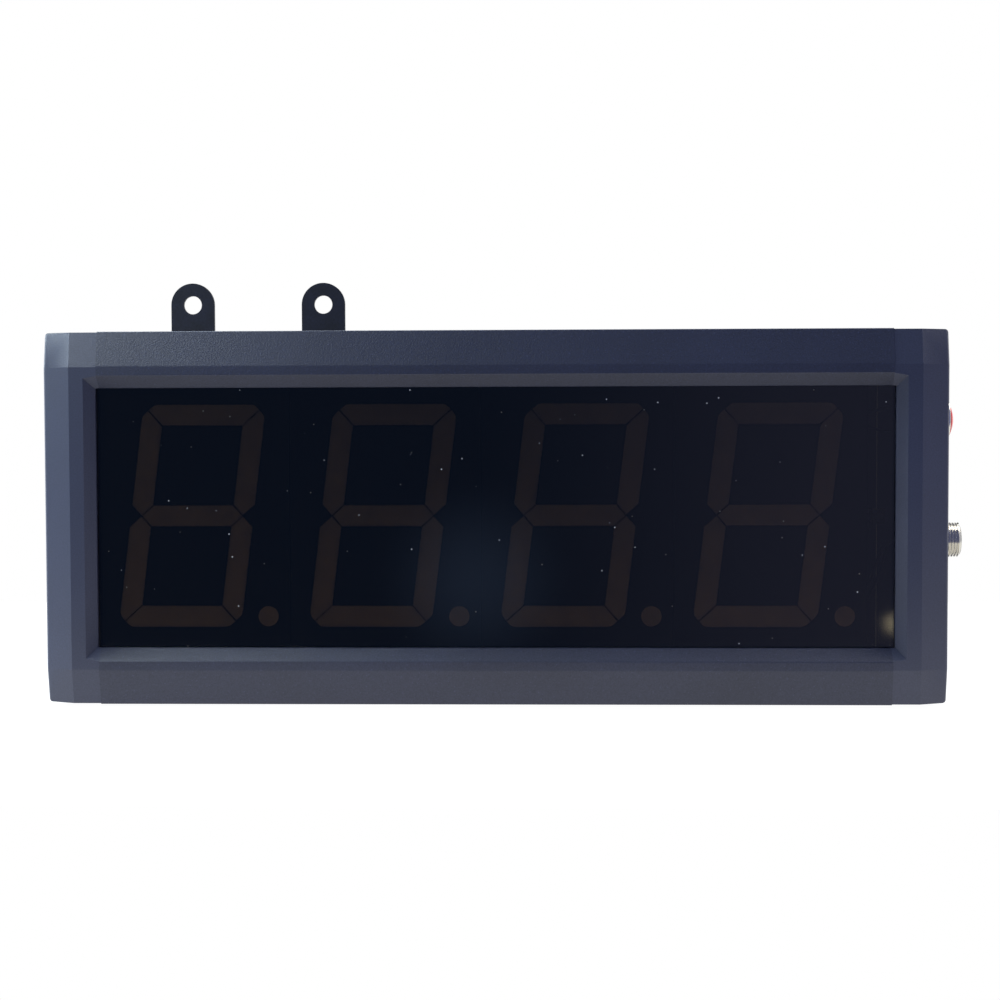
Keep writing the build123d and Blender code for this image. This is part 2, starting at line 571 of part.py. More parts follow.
# Remote-control receiver: a small domed package on the board's edge, looking out past the modules
RECEIVER_X, RECEIVER_HALF_X, RECEIVER_HALF_Z = 175.0, 3.0, 3.5
RECEIVER_FRONT, RECEIVER_BACK = -31.0, -27.5
RECEIVER_LENS_RADIUS, RECEIVER_LENS_HEIGHT, RECEIVER_LENS_TAPER = 2.4, 1.6, 15
RECEIVER_LEG, RECEIVER_LEG_X, RECEIVER_LEG_END_X = 0.5, 172.6, 169.4
RECEIVER_LEG_BACK = BOARD_BACK + 1.2
with BuildPart() as ir_receiver:
    block(
        RECEIVER_X - RECEIVER_HALF_X, RECEIVER_X + RECEIVER_HALF_X, RECEIVER_FRONT, RECEIVER_BACK,
        -RECEIVER_HALF_Z, RECEIVER_HALF_Z,
    )
    with BuildSketch(Plane(origin=(RECEIVER_X, RECEIVER_FRONT, 0.0), x_dir=(1, 0, 0), z_dir=(0, -1, 0))):
        Circle(RECEIVER_LENS_RADIUS)
    extrude(amount=RECEIVER_LENS_HEIGHT, taper=RECEIVER_LENS_TAPER)
    for number in (-1, 0, 1):
        low, high = number * LEG_PITCH - RECEIVER_LEG / 2, number * LEG_PITCH + RECEIVER_LEG / 2
        block(RECEIVER_LEG_X, RECEIVER_LEG_X + RECEIVER_LEG, RECEIVER_BACK, RECEIVER_LEG_BACK, low, high)
        block(RECEIVER_LEG_END_X, RECEIVER_LEG_X + RECEIVER_LEG, BOARD_BACK, RECEIVER_LEG_BACK, low, high)
ir_receiver.part.label = "ir_receiver"
export_step(ir_receiver.part, "parts/ir_receiver.step")

# ---------------------------------------------------------------- push button
with BuildPart() as button_body:
    with BuildSketch(side_plane(HALF_WIDTH, BUTTON_Z)):
        Circle(BUTTON_FLANGE_RADIUS)
    extrude(amount=BUTTON_FLANGE_TOP - HALF_WIDTH)
    fillet(button_body.faces().sort_by(Axis.X)[-1].edges(), BUTTON_FLANGE_ROUND)
    with BuildSketch(side_plane(BUTTON_BARREL_END, BUTTON_Z)):
        Circle(BUTTON_BARREL_RADIUS)
    extrude(amount=HALF_WIDTH - BUTTON_BARREL_END)
    with BuildSketch(side_plane(BUTTON_BARREL_END + BUTTON_BORE_FLOOR, BUTTON_Z)):
        Circle(BUTTON_BORE_RADIUS)
    extrude(amount=BUTTON_FLANGE_TOP - BUTTON_BARREL_END, mode=Mode.SUBTRACT)
    with BuildSketch(side_plane(BUTTON_BARREL_END + GUIDE_FLOOR, BUTTON_Z)):
        Circle(GUIDE_RADIUS)
    extrude(amount=GUIDE_DEPTH, mode=Mode.SUBTRACT)
    for side in (1, -1):
        slot_z = BUTTON_Z + side * TERMINAL_Z
        slot_half_y, slot_half_z = TERMINAL_HALF_Y + TERMINAL_PLAY, TERMINAL_HALF_Z + TERMINAL_PLAY
        block(
            BUTTON_BARREL_END - 1, BUTTON_BARREL_END + TERMINAL_DEPTH,
            SIDE_Y - slot_half_y, SIDE_Y + slot_half_y,
            slot_z - slot_half_z, slot_z + slot_half_z, mode=Mode.SUBTRACT,
        )
button_body.part.label = "button_body"
export_step(button_body.part, "parts/button_body.step")

DOME_RISE = BUTTON_DOME_RADIUS - sqrt(BUTTON_DOME_RADIUS**2 - BUTTON_CAP_RADIUS**2)
DOME_BASE = BUTTON_TOP - DOME_RISE
CAP_SKIRT_END = 200.5
CAP_CAVITY_TOP = 206.5

with BuildPart() as button_cap:
    with BuildSketch(Plane(origin=(0, SIDE_Y, BUTTON_Z), x_dir=(1, 0, 0), z_dir=(0, -1, 0))):
        with BuildLine():
            Polyline(
                (DOME_BASE, BUTTON_CAP_RADIUS), (CAP_SKIRT_END, BUTTON_CAP_RADIUS),
                (CAP_SKIRT_END, BUTTON_CAVITY_RADIUS), (CAP_CAVITY_TOP, BUTTON_CAVITY_RADIUS),
                (CAP_CAVITY_TOP, 0), (BUTTON_TOP, 0),
            )
            RadiusArc((BUTTON_TOP, 0), (DOME_BASE, BUTTON_CAP_RADIUS), -BUTTON_DOME_RADIUS)
        make_face()
    revolve(axis=Axis((0, SIDE_Y, BUTTON_Z), (1, 0, 0)))
button_cap.part.label = "button_cap"
export_step(button_cap.part, "parts/button_cap.step")

PLUNGER_RADIUS = 3.0
with BuildPart() as button_plunger:
    with BuildSketch(side_plane(BUTTON_BARREL_END + PLUNGER_START, BUTTON_Z)):
        Circle(PLUNGER_RADIUS)
    extrude(amount=CAP_CAVITY_TOP - BUTTON_BARREL_END - PLUNGER_START)
button_plunger.part.label = "button_plunger"
export_step(button_plunger.part, "parts/button_plunger.step")

SPRING_RADIUS, SPRING_WIRE = 4.4, 0.4
SPRING_START = BUTTON_BARREL_END + BUTTON_BORE_FLOOR
SPRING_PLAY = 0.05
with BuildPart() as button_spring:
    with BuildSketch(side_plane(SPRING_START + SPRING_PLAY, BUTTON_Z)):
        Circle(SPRING_RADIUS + SPRING_WIRE)
        Circle(SPRING_RADIUS - SPRING_WIRE, mode=Mode.SUBTRACT)
    extrude(amount=CAP_CAVITY_TOP - SPRING_START - 2 * SPRING_PLAY)
button_spring.part.label = "button_spring"
export_step(button_spring.part, "parts/button_spring.step")


def nut_and_washer(z, bore, across_flats, washer_radius):
    """Return a hexagon nut and its washer, seated on the cap's inner side wall."""
    with BuildPart() as nut:
        with BuildSketch(side_plane(INNER_SIDE - WASHER_THICKNESS - NUT_THICKNESS, z)):
            RegularPolygon(across_flats / 2, 6, major_radius=False)
            Circle(bore, mode=Mode.SUBTRACT)
        extrude(amount=NUT_THICKNESS)
    with BuildPart() as washer:
        with BuildSketch(side_plane(INNER_SIDE - WASHER_THICKNESS, z)):
            Circle(washer_radius)
            Circle(bore + 0.1, mode=Mode.SUBTRACT)
        extrude(amount=WASHER_THICKNESS)
    return nut, washer


button_nut, button_washer = nut_and_washer(BUTTON_Z, BUTTON_BARREL_RADIUS + 0.05, 22.0, 11.8)
button_nut.part.label = "button_nut"
export_step(button_nut.part, "parts/button_nut.step")
button_washer.part.label = "button_washer"
export_step(button_washer.part, "parts/button_washer.step")

TERMINAL_END = BUTTON_BARREL_END - 3.0
with BuildPart() as button_terminals:
    for side in (1, -1):
        z = BUTTON_Z + side * TERMINAL_Z
        block(
            TERMINAL_END, BUTTON_BARREL_END + TERMINAL_DEPTH,
            SIDE_Y - TERMINAL_HALF_Y, SIDE_Y + TERMINAL_HALF_Y,
            z - TERMINAL_HALF_Z, z + TERMINAL_HALF_Z,
        )
button_terminals.part.label = "button_terminals"
export_step(button_terminals.part, "parts/button_terminals.step")

# ---------------------------------------------------------------- threaded socket
SOCKET_BORE, SOCKET_SHELF_X, SOCKET_PIN_RADIUS, SOCKET_PIN_RING = 6.6, 204.5, 0.8, 3.6
SOCKET_FLANGE_RADIUS, SOCKET_FLANGE, SOCKET_EDGE = 9.4, 1.2, 0.4
INSERT_TAIL = 2.0
with BuildPart() as socket_shell:
    with BuildSketch(side_plane(SOCKET_END, SOCKET_Z)):
        Circle(SOCKET_RADIUS)
        Circle(SOCKET_BORE, mode=Mode.SUBTRACT)
    extrude(amount=SOCKET_TOP - SOCKET_END)
    chamfer(socket_shell.edges().group_by(Axis.X)[-1], SOCKET_EDGE)
    with BuildSketch(side_plane(HALF_WIDTH, SOCKET_Z)):
        Circle(SOCKET_FLANGE_RADIUS)
        Circle(SOCKET_RADIUS - 0.2, mode=Mode.SUBTRACT)
    extrude(amount=SOCKET_FLANGE)
socket_shell.part.label = "socket_shell"
export_step(socket_shell.part, "parts/socket_shell.step")

socket_pin_points = [(SOCKET_PIN_RING, 0), (-SOCKET_PIN_RING, 0)]
with BuildPart() as socket_insert:
    with BuildSketch(side_plane(SOCKET_END - INSERT_TAIL, SOCKET_Z)):
        Circle(SOCKET_BORE)
    extrude(amount=SOCKET_SHELF_X - SOCKET_END + INSERT_TAIL)
    with BuildSketch(side_plane(SOCKET_END - INSERT_TAIL, SOCKET_Z)):
        with Locations(*socket_pin_points):
            Circle(SOCKET_PIN_RADIUS)
    extrude(amount=SOCKET_SHELF_X - SOCKET_END + 2, mode=Mode.SUBTRACT)
socket_insert.part.label = "socket_insert"
export_step(socket_insert.part, "parts/socket_insert.step")

SOCKET_PIN_END = SOCKET_END - 6.0
with BuildPart() as socket_pins:
    with BuildSketch(side_plane(SOCKET_PIN_END, SOCKET_Z)):
        with Locations(*socket_pin_points):
            Circle(SOCKET_PIN_RADIUS)
    extrude(amount=SOCKET_TOP - 2.0 - SOCKET_PIN_END)
socket_pins.part.label = "socket_pins"
export_step(socket_pins.part, "parts/socket_pins.step")

socket_nut, socket_washer = nut_and_washer(SOCKET_Z, SOCKET_RADIUS + 0.05, 18.0, 9.8)
socket_nut.part.label = "socket_nut"
export_step(socket_nut.part, "parts/socket_nut.step")
socket_washer.part.label = "socket_washer"
export_step(socket_washer.part, "parts/socket_washer.step")


# ---------------------------------------------------------------- leads inside the case
def bend_radii(points):
    """Largest bend at each corner of a route: 0.45 of the shorter run over the half turn's tangent."""
    radii = []
    for before, corner, after in zip(points, points[1:], points[2:]):
        run_in, run_out = Vector(*corner) - Vector(*before), Vector(*after) - Vector(*corner)
        half_turn = radians(run_in.get_angle(run_out)) / 2
        radii.append(0.45 * min(run_in.length, run_out.length) / tan(half_turn))
    print("lead bends, mm:", [round(radius, 1) for radius in radii])
    return radii


# Two wires run from the socket's pins, past the board's end, into the power header.
HEADER_MOUTH_X = HEADER_X + HEADER_HALF_X - 3.0
power_routes = [
    [
        (SOCKET_PIN_END, SIDE_Y + side * SOCKET_PIN_RING, SOCKET_Z),
        (SOCKET_PIN_END - 6.5, SIDE_Y + side * SOCKET_PIN_RING, SOCKET_Z),
        (177.5 - side, LEAD_Y - 1.2 + side, SOCKET_Z - 15 + side * 1.5),
        (172.5, LEAD_Y, POWER_HEADER_Z + side * HEADER_PITCH / 2 + 0.5),
        (HEADER_MOUTH_X, LEAD_Y, POWER_HEADER_Z + side * HEADER_PITCH / 2),
    ]
    for side in (1, -1)
]
# Two wires run from the button's terminals into the button header.
button_routes = [
    [
        (TERMINAL_END, SIDE_Y, BUTTON_Z + side * TERMINAL_Z),
        (TERMINAL_END - 6.0, SIDE_Y, BUTTON_Z + side * TERMINAL_Z),
        (172.8, LEAD_Y, BUTTON_HEADER_Z + side * 2.4),
        (HEADER_MOUTH_X, LEAD_Y, BUTTON_HEADER_Z + side * HEADER_PITCH / 2),
    ]
    for side in (1, -1)
]

with BuildPart() as power_leads:
    for points in power_routes:
        with BuildLine() as route:
            FilletPolyline(*points, radius=bend_radii(points))
        with BuildSketch(Plane(origin=points[0], z_dir=Vector(*points[1]) - Vector(*points[0]))):
            Circle(LEAD_RADIUS)
        sweep(path=route.wires()[0])
power_leads.part.label = "power_leads"
export_step(power_leads.part, "parts/power_leads.step")

with BuildPart() as button_leads:
    for points in button_routes:
        with BuildLine() as route:
            FilletPolyline(*points, radius=bend_radii(points))
        with BuildSketch(Plane(origin=points[0], z_dir=Vector(*points[1]) - Vector(*points[0]))):
            Circle(LEAD_RADIUS)
        sweep(path=route.wires()[0])
button_leads.part.label = "button_leads"
export_step(button_leads.part, "parts/button_leads.step")

# ---------------------------------------------------------------- hanging lugs
for name, centre_x in zip(("left", "right"), LUG_X):
    with BuildPart() as hanging_lug:
        block(
            centre_x - LUG_WIDTH / 2, centre_x + LUG_WIDTH / 2,
            LUG_FOOT_FRONT, LUG_EAR_BACK, LUG_FOOT_BOTTOM, LUG_FOOT_TOP,
        )
        block(
            centre_x - LUG_WIDTH / 2, centre_x + LUG_WIDTH / 2,
            LUG_EAR_FRONT, LUG_EAR_BACK, LUG_FOOT_BOTTOM, LUG_HOLE_Z,
        )
        ear = Plane(origin=(centre_x, LUG_EAR_BACK, LUG_HOLE_Z), x_dir=(1, 0, 0), z_dir=(0, -1, 0))
        with BuildSketch(ear):
            Circle(LUG_WIDTH / 2)
        extrude(amount=LUG_THICKNESS)
        with BuildSketch(ear):
            Circle(LUG_HOLE_RADIUS)
        extrude(amount=LUG_THICKNESS, mode=Mode.SUBTRACT)
        with BuildSketch(Plane(origin=(centre_x, LUG_SCREW_Y, LUG_FOOT_BOTTOM))):
            Circle(LUG_SCREW_RADIUS + LUG_SCREW_PLAY)
        extrude(amount=LUG_THICKNESS, mode=Mode.SUBTRACT)
    hanging_lug.part.label = f"{name}_hanging_lug"
    export_step(hanging_lug.part, f"parts/{name}_hanging_lug.step")

    with BuildPart() as lug_screw:
        with BuildSketch(Plane(origin=(centre_x, LUG_SCREW_Y, T_FLOOR_TOP + LUG_SCREW_PLAY))):
            Circle(LUG_SCREW_RADIUS)
        extrude(amount=LUG_SCREW_LENGTH)
        screw_top = T_FLOOR_TOP + LUG_SCREW_PLAY + LUG_SCREW_LENGTH
        with BuildSketch(Plane(origin=(centre_x, LUG_SCREW_Y, screw_top))):
            RegularPolygon(HEX_SOCKET, 6, major_radius=False)
        extrude(amount=-HEX_SOCKET_DEPTH, mode=Mode.SUBTRACT)
    lug_screw.part.label = f"{name}_lug_screw"
    export_step(lug_screw.part, f"parts/{name}_lug_screw.step")
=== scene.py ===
import logging
import math
from dataclasses import dataclass, field
from enum import Enum
from typing import Callable, Mapping, Sequence

import bmesh
import bpy
from mathutils import Matrix, Vector


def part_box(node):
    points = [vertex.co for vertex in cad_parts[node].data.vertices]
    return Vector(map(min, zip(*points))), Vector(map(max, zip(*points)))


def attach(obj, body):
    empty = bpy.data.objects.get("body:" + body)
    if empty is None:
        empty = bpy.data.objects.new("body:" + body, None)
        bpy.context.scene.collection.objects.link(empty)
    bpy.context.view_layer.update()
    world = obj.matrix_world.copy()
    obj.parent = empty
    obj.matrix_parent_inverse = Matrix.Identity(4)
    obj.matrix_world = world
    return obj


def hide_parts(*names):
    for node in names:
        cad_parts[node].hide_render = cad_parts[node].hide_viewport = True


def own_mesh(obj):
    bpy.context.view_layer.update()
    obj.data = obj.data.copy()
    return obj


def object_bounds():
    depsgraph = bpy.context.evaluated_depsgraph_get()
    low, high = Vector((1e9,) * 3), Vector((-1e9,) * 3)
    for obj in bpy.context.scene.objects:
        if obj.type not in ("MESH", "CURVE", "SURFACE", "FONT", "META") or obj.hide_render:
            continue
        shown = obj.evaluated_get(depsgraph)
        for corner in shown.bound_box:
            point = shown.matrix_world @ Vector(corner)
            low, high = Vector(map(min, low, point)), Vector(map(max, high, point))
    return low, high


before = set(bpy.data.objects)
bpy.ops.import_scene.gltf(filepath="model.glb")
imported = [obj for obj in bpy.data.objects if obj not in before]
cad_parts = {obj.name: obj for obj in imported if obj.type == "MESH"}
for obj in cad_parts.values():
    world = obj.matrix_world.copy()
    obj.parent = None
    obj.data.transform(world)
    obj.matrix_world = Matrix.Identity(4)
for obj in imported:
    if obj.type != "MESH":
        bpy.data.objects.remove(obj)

CAD_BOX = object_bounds()
MM = 0.001
LOG = logging.getLogger("round_timer")
Point = tuple[float, float]


# ------------------------------------------------------------------ shared tools
class Body(Enum):
    """The rigid bodies of the timer, as the frame names them."""

    CASE = "case"
    BUTTON = "button"
    LEFT_LUG = "left_lug"
    RIGHT_LUG = "right_lug"


def linear(colour: str) -> tuple[float, float, float, float]:
    """Turn an sRGB hex colour into the linear colour that shaders take.

    Args:
        colour: Six hex digits, such as "2a2d3d".

    Returns:
        Linear red, green and blue, and an alpha of one.
    """
    parts = [int(colour[i:i + 2], 16) / 255 for i in (0, 2, 4)]
    curved = [c / 12.92 if c <= 0.04045 else ((c + 0.055) / 1.055) ** 2.4 for c in parts]
    return (*curved, 1.0)


def add_node(
    tree: bpy.types.NodeTree,
    kind: str,
    inputs: Mapping[str | int, object] | None = None,
    **settings: object,
) -> bpy.types.Node:
    """Add one node, with its settings, its constant inputs and its links.

    Args:
        tree: The node tree that gets the node.
        kind: The node's type name.
        inputs: Input name or number to a constant, or to the socket that feeds it.
        settings: The node's own properties.

    Returns:
        The new node.
    """
    node = tree.nodes.new(kind)
    for name, value in settings.items():
        setattr(node, name, value)
    for key, value in (inputs or {}).items():
        if isinstance(value, bpy.types.NodeSocket):
            tree.links.new(value, node.inputs[key])
        else:
            node.inputs[key].default_value = value
    return node


def per_metre(size_mm: float) -> float:
    """Return a texture scale whose pattern repeats about every size_mm."""
    return 1.0 / (size_mm * MM)


# ------------------------------------------------------------------ finishes
# Each finish's material, made once.
MADE: dict[str, bpy.types.Material] = {}
# The range that a noise texture mostly fills.
NOISE_LOW = 0.3
NOISE_HIGH = 0.7
GRAIN_HIGH = 0.75


@dataclass(frozen=True)
class Finish:
    """A surface finish. Each kind adds its own pattern to the same start."""

    name: str
    slot: str
    colour: str
    roughness: float

    def start(self) -> tuple[bpy.types.NodeTree, bpy.types.Node, bpy.types.NodeSocket]:
        """Make the material and its shader.

        Returns:
            The node tree, the Principled shader and the object coordinates.
        """
        material = bpy.data.materials.new(self.name)
        MADE[self.name] = material
        material.use_nodes = True
        tree = material.node_tree
        tree.nodes.clear()
        shader = add_node(tree, "ShaderNodeBsdfPrincipled")
        add_node(tree, "ShaderNodeOutputMaterial", {"Surface": shader.outputs["BSDF"]})
        coordinates = add_node(tree, "ShaderNodeTexCoord").outputs["Object"]
        return tree, shader, coordinates

    def material(self) -> bpy.types.Material:
        """Return the finish's material, made once."""
        if self.name not in MADE:
            self.build()
        return MADE[self.name]

    def build(self) -> None:
        """Make the material; each kind of finish has its own."""
        raise NotImplementedError


@dataclass(frozen=True)
class GrainedCoat(Finish):
    """Plastic or paint with a moulded or sprayed grain.

    The grain is a noise of grain_mm, raised by depth_mm. Its peaks are a little lighter and
    its hollows rougher, and a slow cloud of cloud_mm makes the colour uneven. Flakes, if any,
    stand flake_mm apart, reach from flake_core to flake_rim of that, and are painted lighter
    by flake_glint: partly a lighter pigment, partly a painted glint.
    """

    grain_mm: float = 1.0
    depth_mm: float = 0.05
    contrast: float = 0.35
    cloud_mm: float = 60.0
    cloud: float = 0.12
    flake_glint: float = 0.0
    flake_mm: float = 2.2
    flake_core: float = 0.10
    flake_rim: float = 0.18
    rougher: float = 0.08
    smoother: float = 0.06
    specular: float = 0.5
    ior: float = 1.5

    def build(self) -> None:
        """Make the material of a grained coat."""
        tree, shader, place = self.start()
        grain = add_node(
            tree, "ShaderNodeTexNoise",
            {"Vector": place, "Scale": per_metre(self.grain_mm), "Detail": 2.5, "Roughness": 0.55},
        ).outputs["Fac"]
        cloud = add_node(
            tree, "ShaderNodeTexNoise",
            {"Vector": place, "Scale": per_metre(self.cloud_mm), "Detail": 3.0, "Roughness": 0.5},
        ).outputs["Fac"]
        lift = add_node(
            tree, "ShaderNodeMapRange",
            {
                "Value": grain, "From Min": NOISE_LOW, "From Max": GRAIN_HIGH,
                "To Min": 1 - self.contrast, "To Max": 1 + self.contrast,
            },
        ).outputs["Result"]
        drift = add_node(
            tree, "ShaderNodeMapRange",
            {
                "Value": cloud, "From Min": NOISE_LOW, "From Max": NOISE_HIGH,
                "To Min": 1 - self.cloud, "To Max": 1 + self.cloud,
            },
        ).outputs["Result"]
        shade = add_node(tree, "ShaderNodeMath", {0: lift, 1: drift}, operation="MULTIPLY").outputs[0]
        if self.flake_glint:
            # Painted glint: lone pigment flakes, a few millimetres apart, painted lighter in the colour as
            # if they caught the light.
            cells = add_node(
                tree, "ShaderNodeTexVoronoi",
                {"Vector": place, "Scale": per_metre(self.flake_mm), "Randomness": 1.0},
            ).outputs["Distance"]
            painted_glint = add_node(
                tree, "ShaderNodeMapRange",
                {
                    "Value": cells, "From Min": self.flake_core, "From Max": self.flake_rim,
                    "To Min": self.flake_glint, "To Max": 0.0,
                },
            ).outputs["Result"]
            shade = add_node(tree, "ShaderNodeMath", {0: shade, 1: painted_glint}, operation="ADD").outputs[0]
        colour = add_node(
            tree, "ShaderNodeVectorMath", {0: linear(self.colour)[:3], "Scale": shade}, operation="SCALE",
        ).outputs["Vector"]
        rough = add_node(
            tree, "ShaderNodeMapRange",
            {
                "Value": grain, "From Min": NOISE_LOW, "From Max": GRAIN_HIGH,
                "To Min": self.roughness + self.rougher, "To Max": self.roughness - self.smoother,
            },
        ).outputs["Result"]
        bump = add_node(
            tree, "ShaderNodeBump", {"Height": grain, "Strength": 1.0, "Distance": self.depth_mm * MM},
        ).outputs["Normal"]
        tree.links.new(colour, shader.inputs["Base Color"])
        tree.links.new(rough, shader.inputs["Roughness"])
        tree.links.new(bump, shader.inputs["Normal"])
        shader.inputs["IOR"].default_value = self.ior
        shader.inputs["Specular IOR Level"].default_value = self.specular


@dataclass(frozen=True)
class BareMetal(Finish):
    """Plated or drawn metal: hairlines along one axis over fine uneven polish."""

    hairline_mm: float = 0.4
    stretch: tuple[float, float, float] = (1.0, 1.0, 1.0)
    unevenness: float = 0.08
    depth_mm: float = 0.004
    darker: float = 0.86
    lighter: float = 1.08

    def build(self) -> None:
        """Make the material of a bare or plated metal."""
        tree, shader, place = self.start()
        lines = add_node(
            tree, "ShaderNodeMapping", {"Vector": place, "Scale": self.stretch},
        ).outputs["Vector"]
        grain = add_node(
            tree, "ShaderNodeTexNoise",
            {"Vector": lines, "Scale": per_metre(self.hairline_mm), "Detail": 3.0, "Roughness": 0.6},
        ).outputs["Fac"]
        shade = add_node(
            tree, "ShaderNodeMapRange",
            {
                "Value": grain, "From Min": NOISE_LOW, "From Max": NOISE_HIGH,
                "To Min": self.darker, "To Max": self.lighter,
            },
        ).outputs["Result"]
        colour = add_node(
            tree, "ShaderNodeVectorMath", {0: linear(self.colour)[:3], "Scale": shade}, operation="SCALE",
        ).outputs["Vector"]
        rough = add_node(
            tree, "ShaderNodeMapRange",
            {
                "Value": grain, "From Min": 0.25, "From Max": 0.75,
                "To Min": self.roughness, "To Max": self.roughness + self.unevenness,
            },
        ).outputs["Result"]
        bump = add_node(
            tree, "ShaderNodeBump", {"Height": grain, "Strength": 0.6, "Distance": self.depth_mm * MM},
        ).outputs["Normal"]
        tree.links.new(colour, shader.inputs["Base Color"])
        tree.links.new(rough, shader.inputs["Roughness"])
        tree.links.new(bump, shader.inputs["Normal"])
        shader.inputs["Metallic"].default_value = 1.0


@dataclass(frozen=True)
class SmokedSheet(Finish):
    """Cast acrylic with a dark tint: a dim view through, and a clear reflection on top."""

    ior: float = 1.49
    film_mm: float = 70.0
    film: float = 0.03
    dust_mm: float = 9.0
    speck_core: float = 0.026
    speck_rim: float = 0.036
    speck_cover: float = 0.9
    speck_colour: str = "e1e3e7"

    def build(self) -> None:
        """Make the material of the window pane."""
        tree, shader, place = self.start()
        tree.nodes.remove(shader)
        output = next(n for n in tree.nodes if n.type == "OUTPUT_MATERIAL")
        film = add_node(
            tree, "ShaderNodeTexNoise",
            {"Vector": place, "Scale": per_metre(self.film_mm), "Detail": 2.0, "Roughness": 0.5},
        ).outputs["Fac"]
        rough = add_node(
            tree, "ShaderNodeMapRange",
            {
                "Value": film, "From Min": NOISE_LOW, "From Max": NOISE_HIGH,
                "To Min": self.roughness, "To Max": self.roughness + self.film,
            },
        ).outputs["Result"]
        tinted = add_node(tree, "ShaderNodeBsdfTransparent", {"Color": linear(self.colour)})
        polish = add_node(tree, "ShaderNodeBsdfGlossy", {"Color": linear("ffffff"), "Roughness": rough})
        fresnel = add_node(tree, "ShaderNodeFresnel", {"IOR": self.ior}).outputs["Fac"]
        surface = add_node(
            tree, "ShaderNodeMixShader", {0: fresnel, 1: tinted.outputs[0], 2: polish.outputs[0]},
        ).outputs[0]
        # Settled dust: sparse specks under half a millimetre across.
        cells = add_node(
            tree, "ShaderNodeTexVoronoi",
            {"Vector": place, "Scale": per_metre(self.dust_mm), "Randomness": 1.0},
        )
        speck = add_node(
            tree, "ShaderNodeMapRange",
            {
                "Value": cells.outputs["Distance"], "From Min": self.speck_core, "From Max": self.speck_rim,
                "To Min": self.speck_cover, "To Max": 0.0,
            },
        ).outputs["Result"]
        dust = add_node(tree, "ShaderNodeBsdfDiffuse", {"Color": linear(self.speck_colour)}).outputs[0]
        dusted = add_node(tree, "ShaderNodeMixShader", {0: speck, 1: surface, 2: dust}).outputs[0]
        tree.links.new(dusted, output.inputs["Surface"])


@dataclass(frozen=True)
class BoardMask(Finish):
    """Solder mask over etched copper: the traces show as a lighter green."""

    track_mm: float = 1.6
    track_colour: str = "2f8a4a"
    copper_mm: float = 0.035
    mottling_mm: float = 1.2
    mottling: float = 0.25

    def build(self) -> None:
        """Make the material of the circuit board."""
        tree, shader, place = self.start()
        upright = add_node(
            tree, "ShaderNodeMapping", {"Vector": place, "Rotation": (math.radians(90), 0, 0)},
        ).outputs["Vector"]
        tracks = add_node(
            tree, "ShaderNodeTexBrick",
            {
                "Vector": upright, "Scale": per_metre(self.track_mm * 8), "Mortar Size": 0.035,
                "Mortar Smooth": 0.1, "Bias": 0.0, "Brick Width": 1.9, "Row Height": 0.32,
            },
        ).outputs["Fac"]
        mottling = add_node(
            tree, "ShaderNodeTexNoise",
            {"Vector": place, "Scale": per_metre(self.mottling_mm), "Detail": 3.0},
        ).outputs["Fac"]
        copper = add_node(
            tree, "ShaderNodeMix",
            {0: tracks, 6: linear(self.colour), 7: linear(self.track_colour)}, data_type="RGBA",
        ).outputs[2]
        uneven = add_node(
            tree, "ShaderNodeVectorMath", {0: linear(self.colour)[:3], "Scale": mottling}, operation="SCALE",
        ).outputs["Vector"]
        colour = add_node(
            tree, "ShaderNodeMix", {0: self.mottling, 6: copper, 7: uneven}, data_type="RGBA",
        ).outputs[2]
        tree.links.new(colour, shader.inputs["Base Color"])
        bump = add_node(
            tree, "ShaderNodeBump", {"Height": tracks, "Strength": 0.8, "Distance": self.copper_mm * MM},
        ).outputs["Normal"]
        tree.links.new(bump, shader.inputs["Normal"])
        shader.inputs["Roughness"].default_value = self.roughness


# Textured powder coat on the extrusions: millimetre grain that breaks up every highlight, and lone flakes
# painted lighter as a painted glint.
RAIL_COAT = GrainedCoat(
    "sprayed_powder_coat", "powder_coated_aluminium", "262a3e", 0.42,
    grain_mm=0.7, depth_mm=0.11, contrast=0.28, flake_glint=0.6, specular=0.62,
)
# Moulded ABS with a spark-eroded grain, finer and smoother than the coat.
CAP_ABS = GrainedCoat(
    "spark_grained_abs", "moulded_abs", "32364a", 0.4,
    grain_mm=0.65, depth_mm=0.05, contrast=0.18, specular=0.62,
)
# Cast acrylic: dark blue-black from outside, and the digits show faintly through it.
PANE_ACRYLIC = SmokedSheet("cast_smoked_acrylic", "smoked_acrylic", "cbc5b2", 0.02)
# Sheet steel under a thin satin powder coat.
PANEL_STEEL = GrainedCoat(
    "powder_coated_sheet", "galvanised_sheet", "262833", 0.5, grain_mm=0.9, depth_mm=0.03, contrast=0.15,
)
# Matt black ink on the module faces: flat, faintly blue.
MODULE_INK = GrainedCoat(
    "matt_module_ink", "module_housing", "12151f", 0.65, grain_mm=0.5, depth_mm=0.008, contrast=0.12,
    cloud_mm=25, specular=0.2,
)
# Epoxy with diffusing filler: a warm grey while unlit, finely speckled.
SEGMENT_EPOXY = GrainedCoat(
    "diffusing_epoxy", "segment_epoxy", "a89296", 0.6, grain_mm=0.7, depth_mm=0.006, contrast=0.07,
    cloud_mm=12, cloud=0.05, specular=0.2,
)
BOARD_MASK = BoardMask("solder_mask", "circuit_board", "155c30", 0.35)
# Moulding compound: matt charcoal with glassy filler grains.
CHIP_EPOXY = GrainedCoat(
    "chip_epoxy", "chip_plastic", "202022", 0.55, grain_mm=0.3, depth_mm=0.01, contrast=0.2,
)
# Shrunk PVC sleeve: smooth, dark blue, a soft streak of light.
SLEEVE_PVC = GrainedCoat(
    "shrunk_pvc_sleeve", "capacitor_sleeve", "1a1f45", 0.3, grain_mm=2.0, depth_mm=0.01, contrast=0.08,
)
# Fired ceramic under a dark glaze.
RESISTOR_CERAMIC = GrainedCoat(
    "glazed_ceramic", "ceramic_chip", "2a2a2c", 0.4, grain_mm=0.3, depth_mm=0.01, contrast=0.2,
)
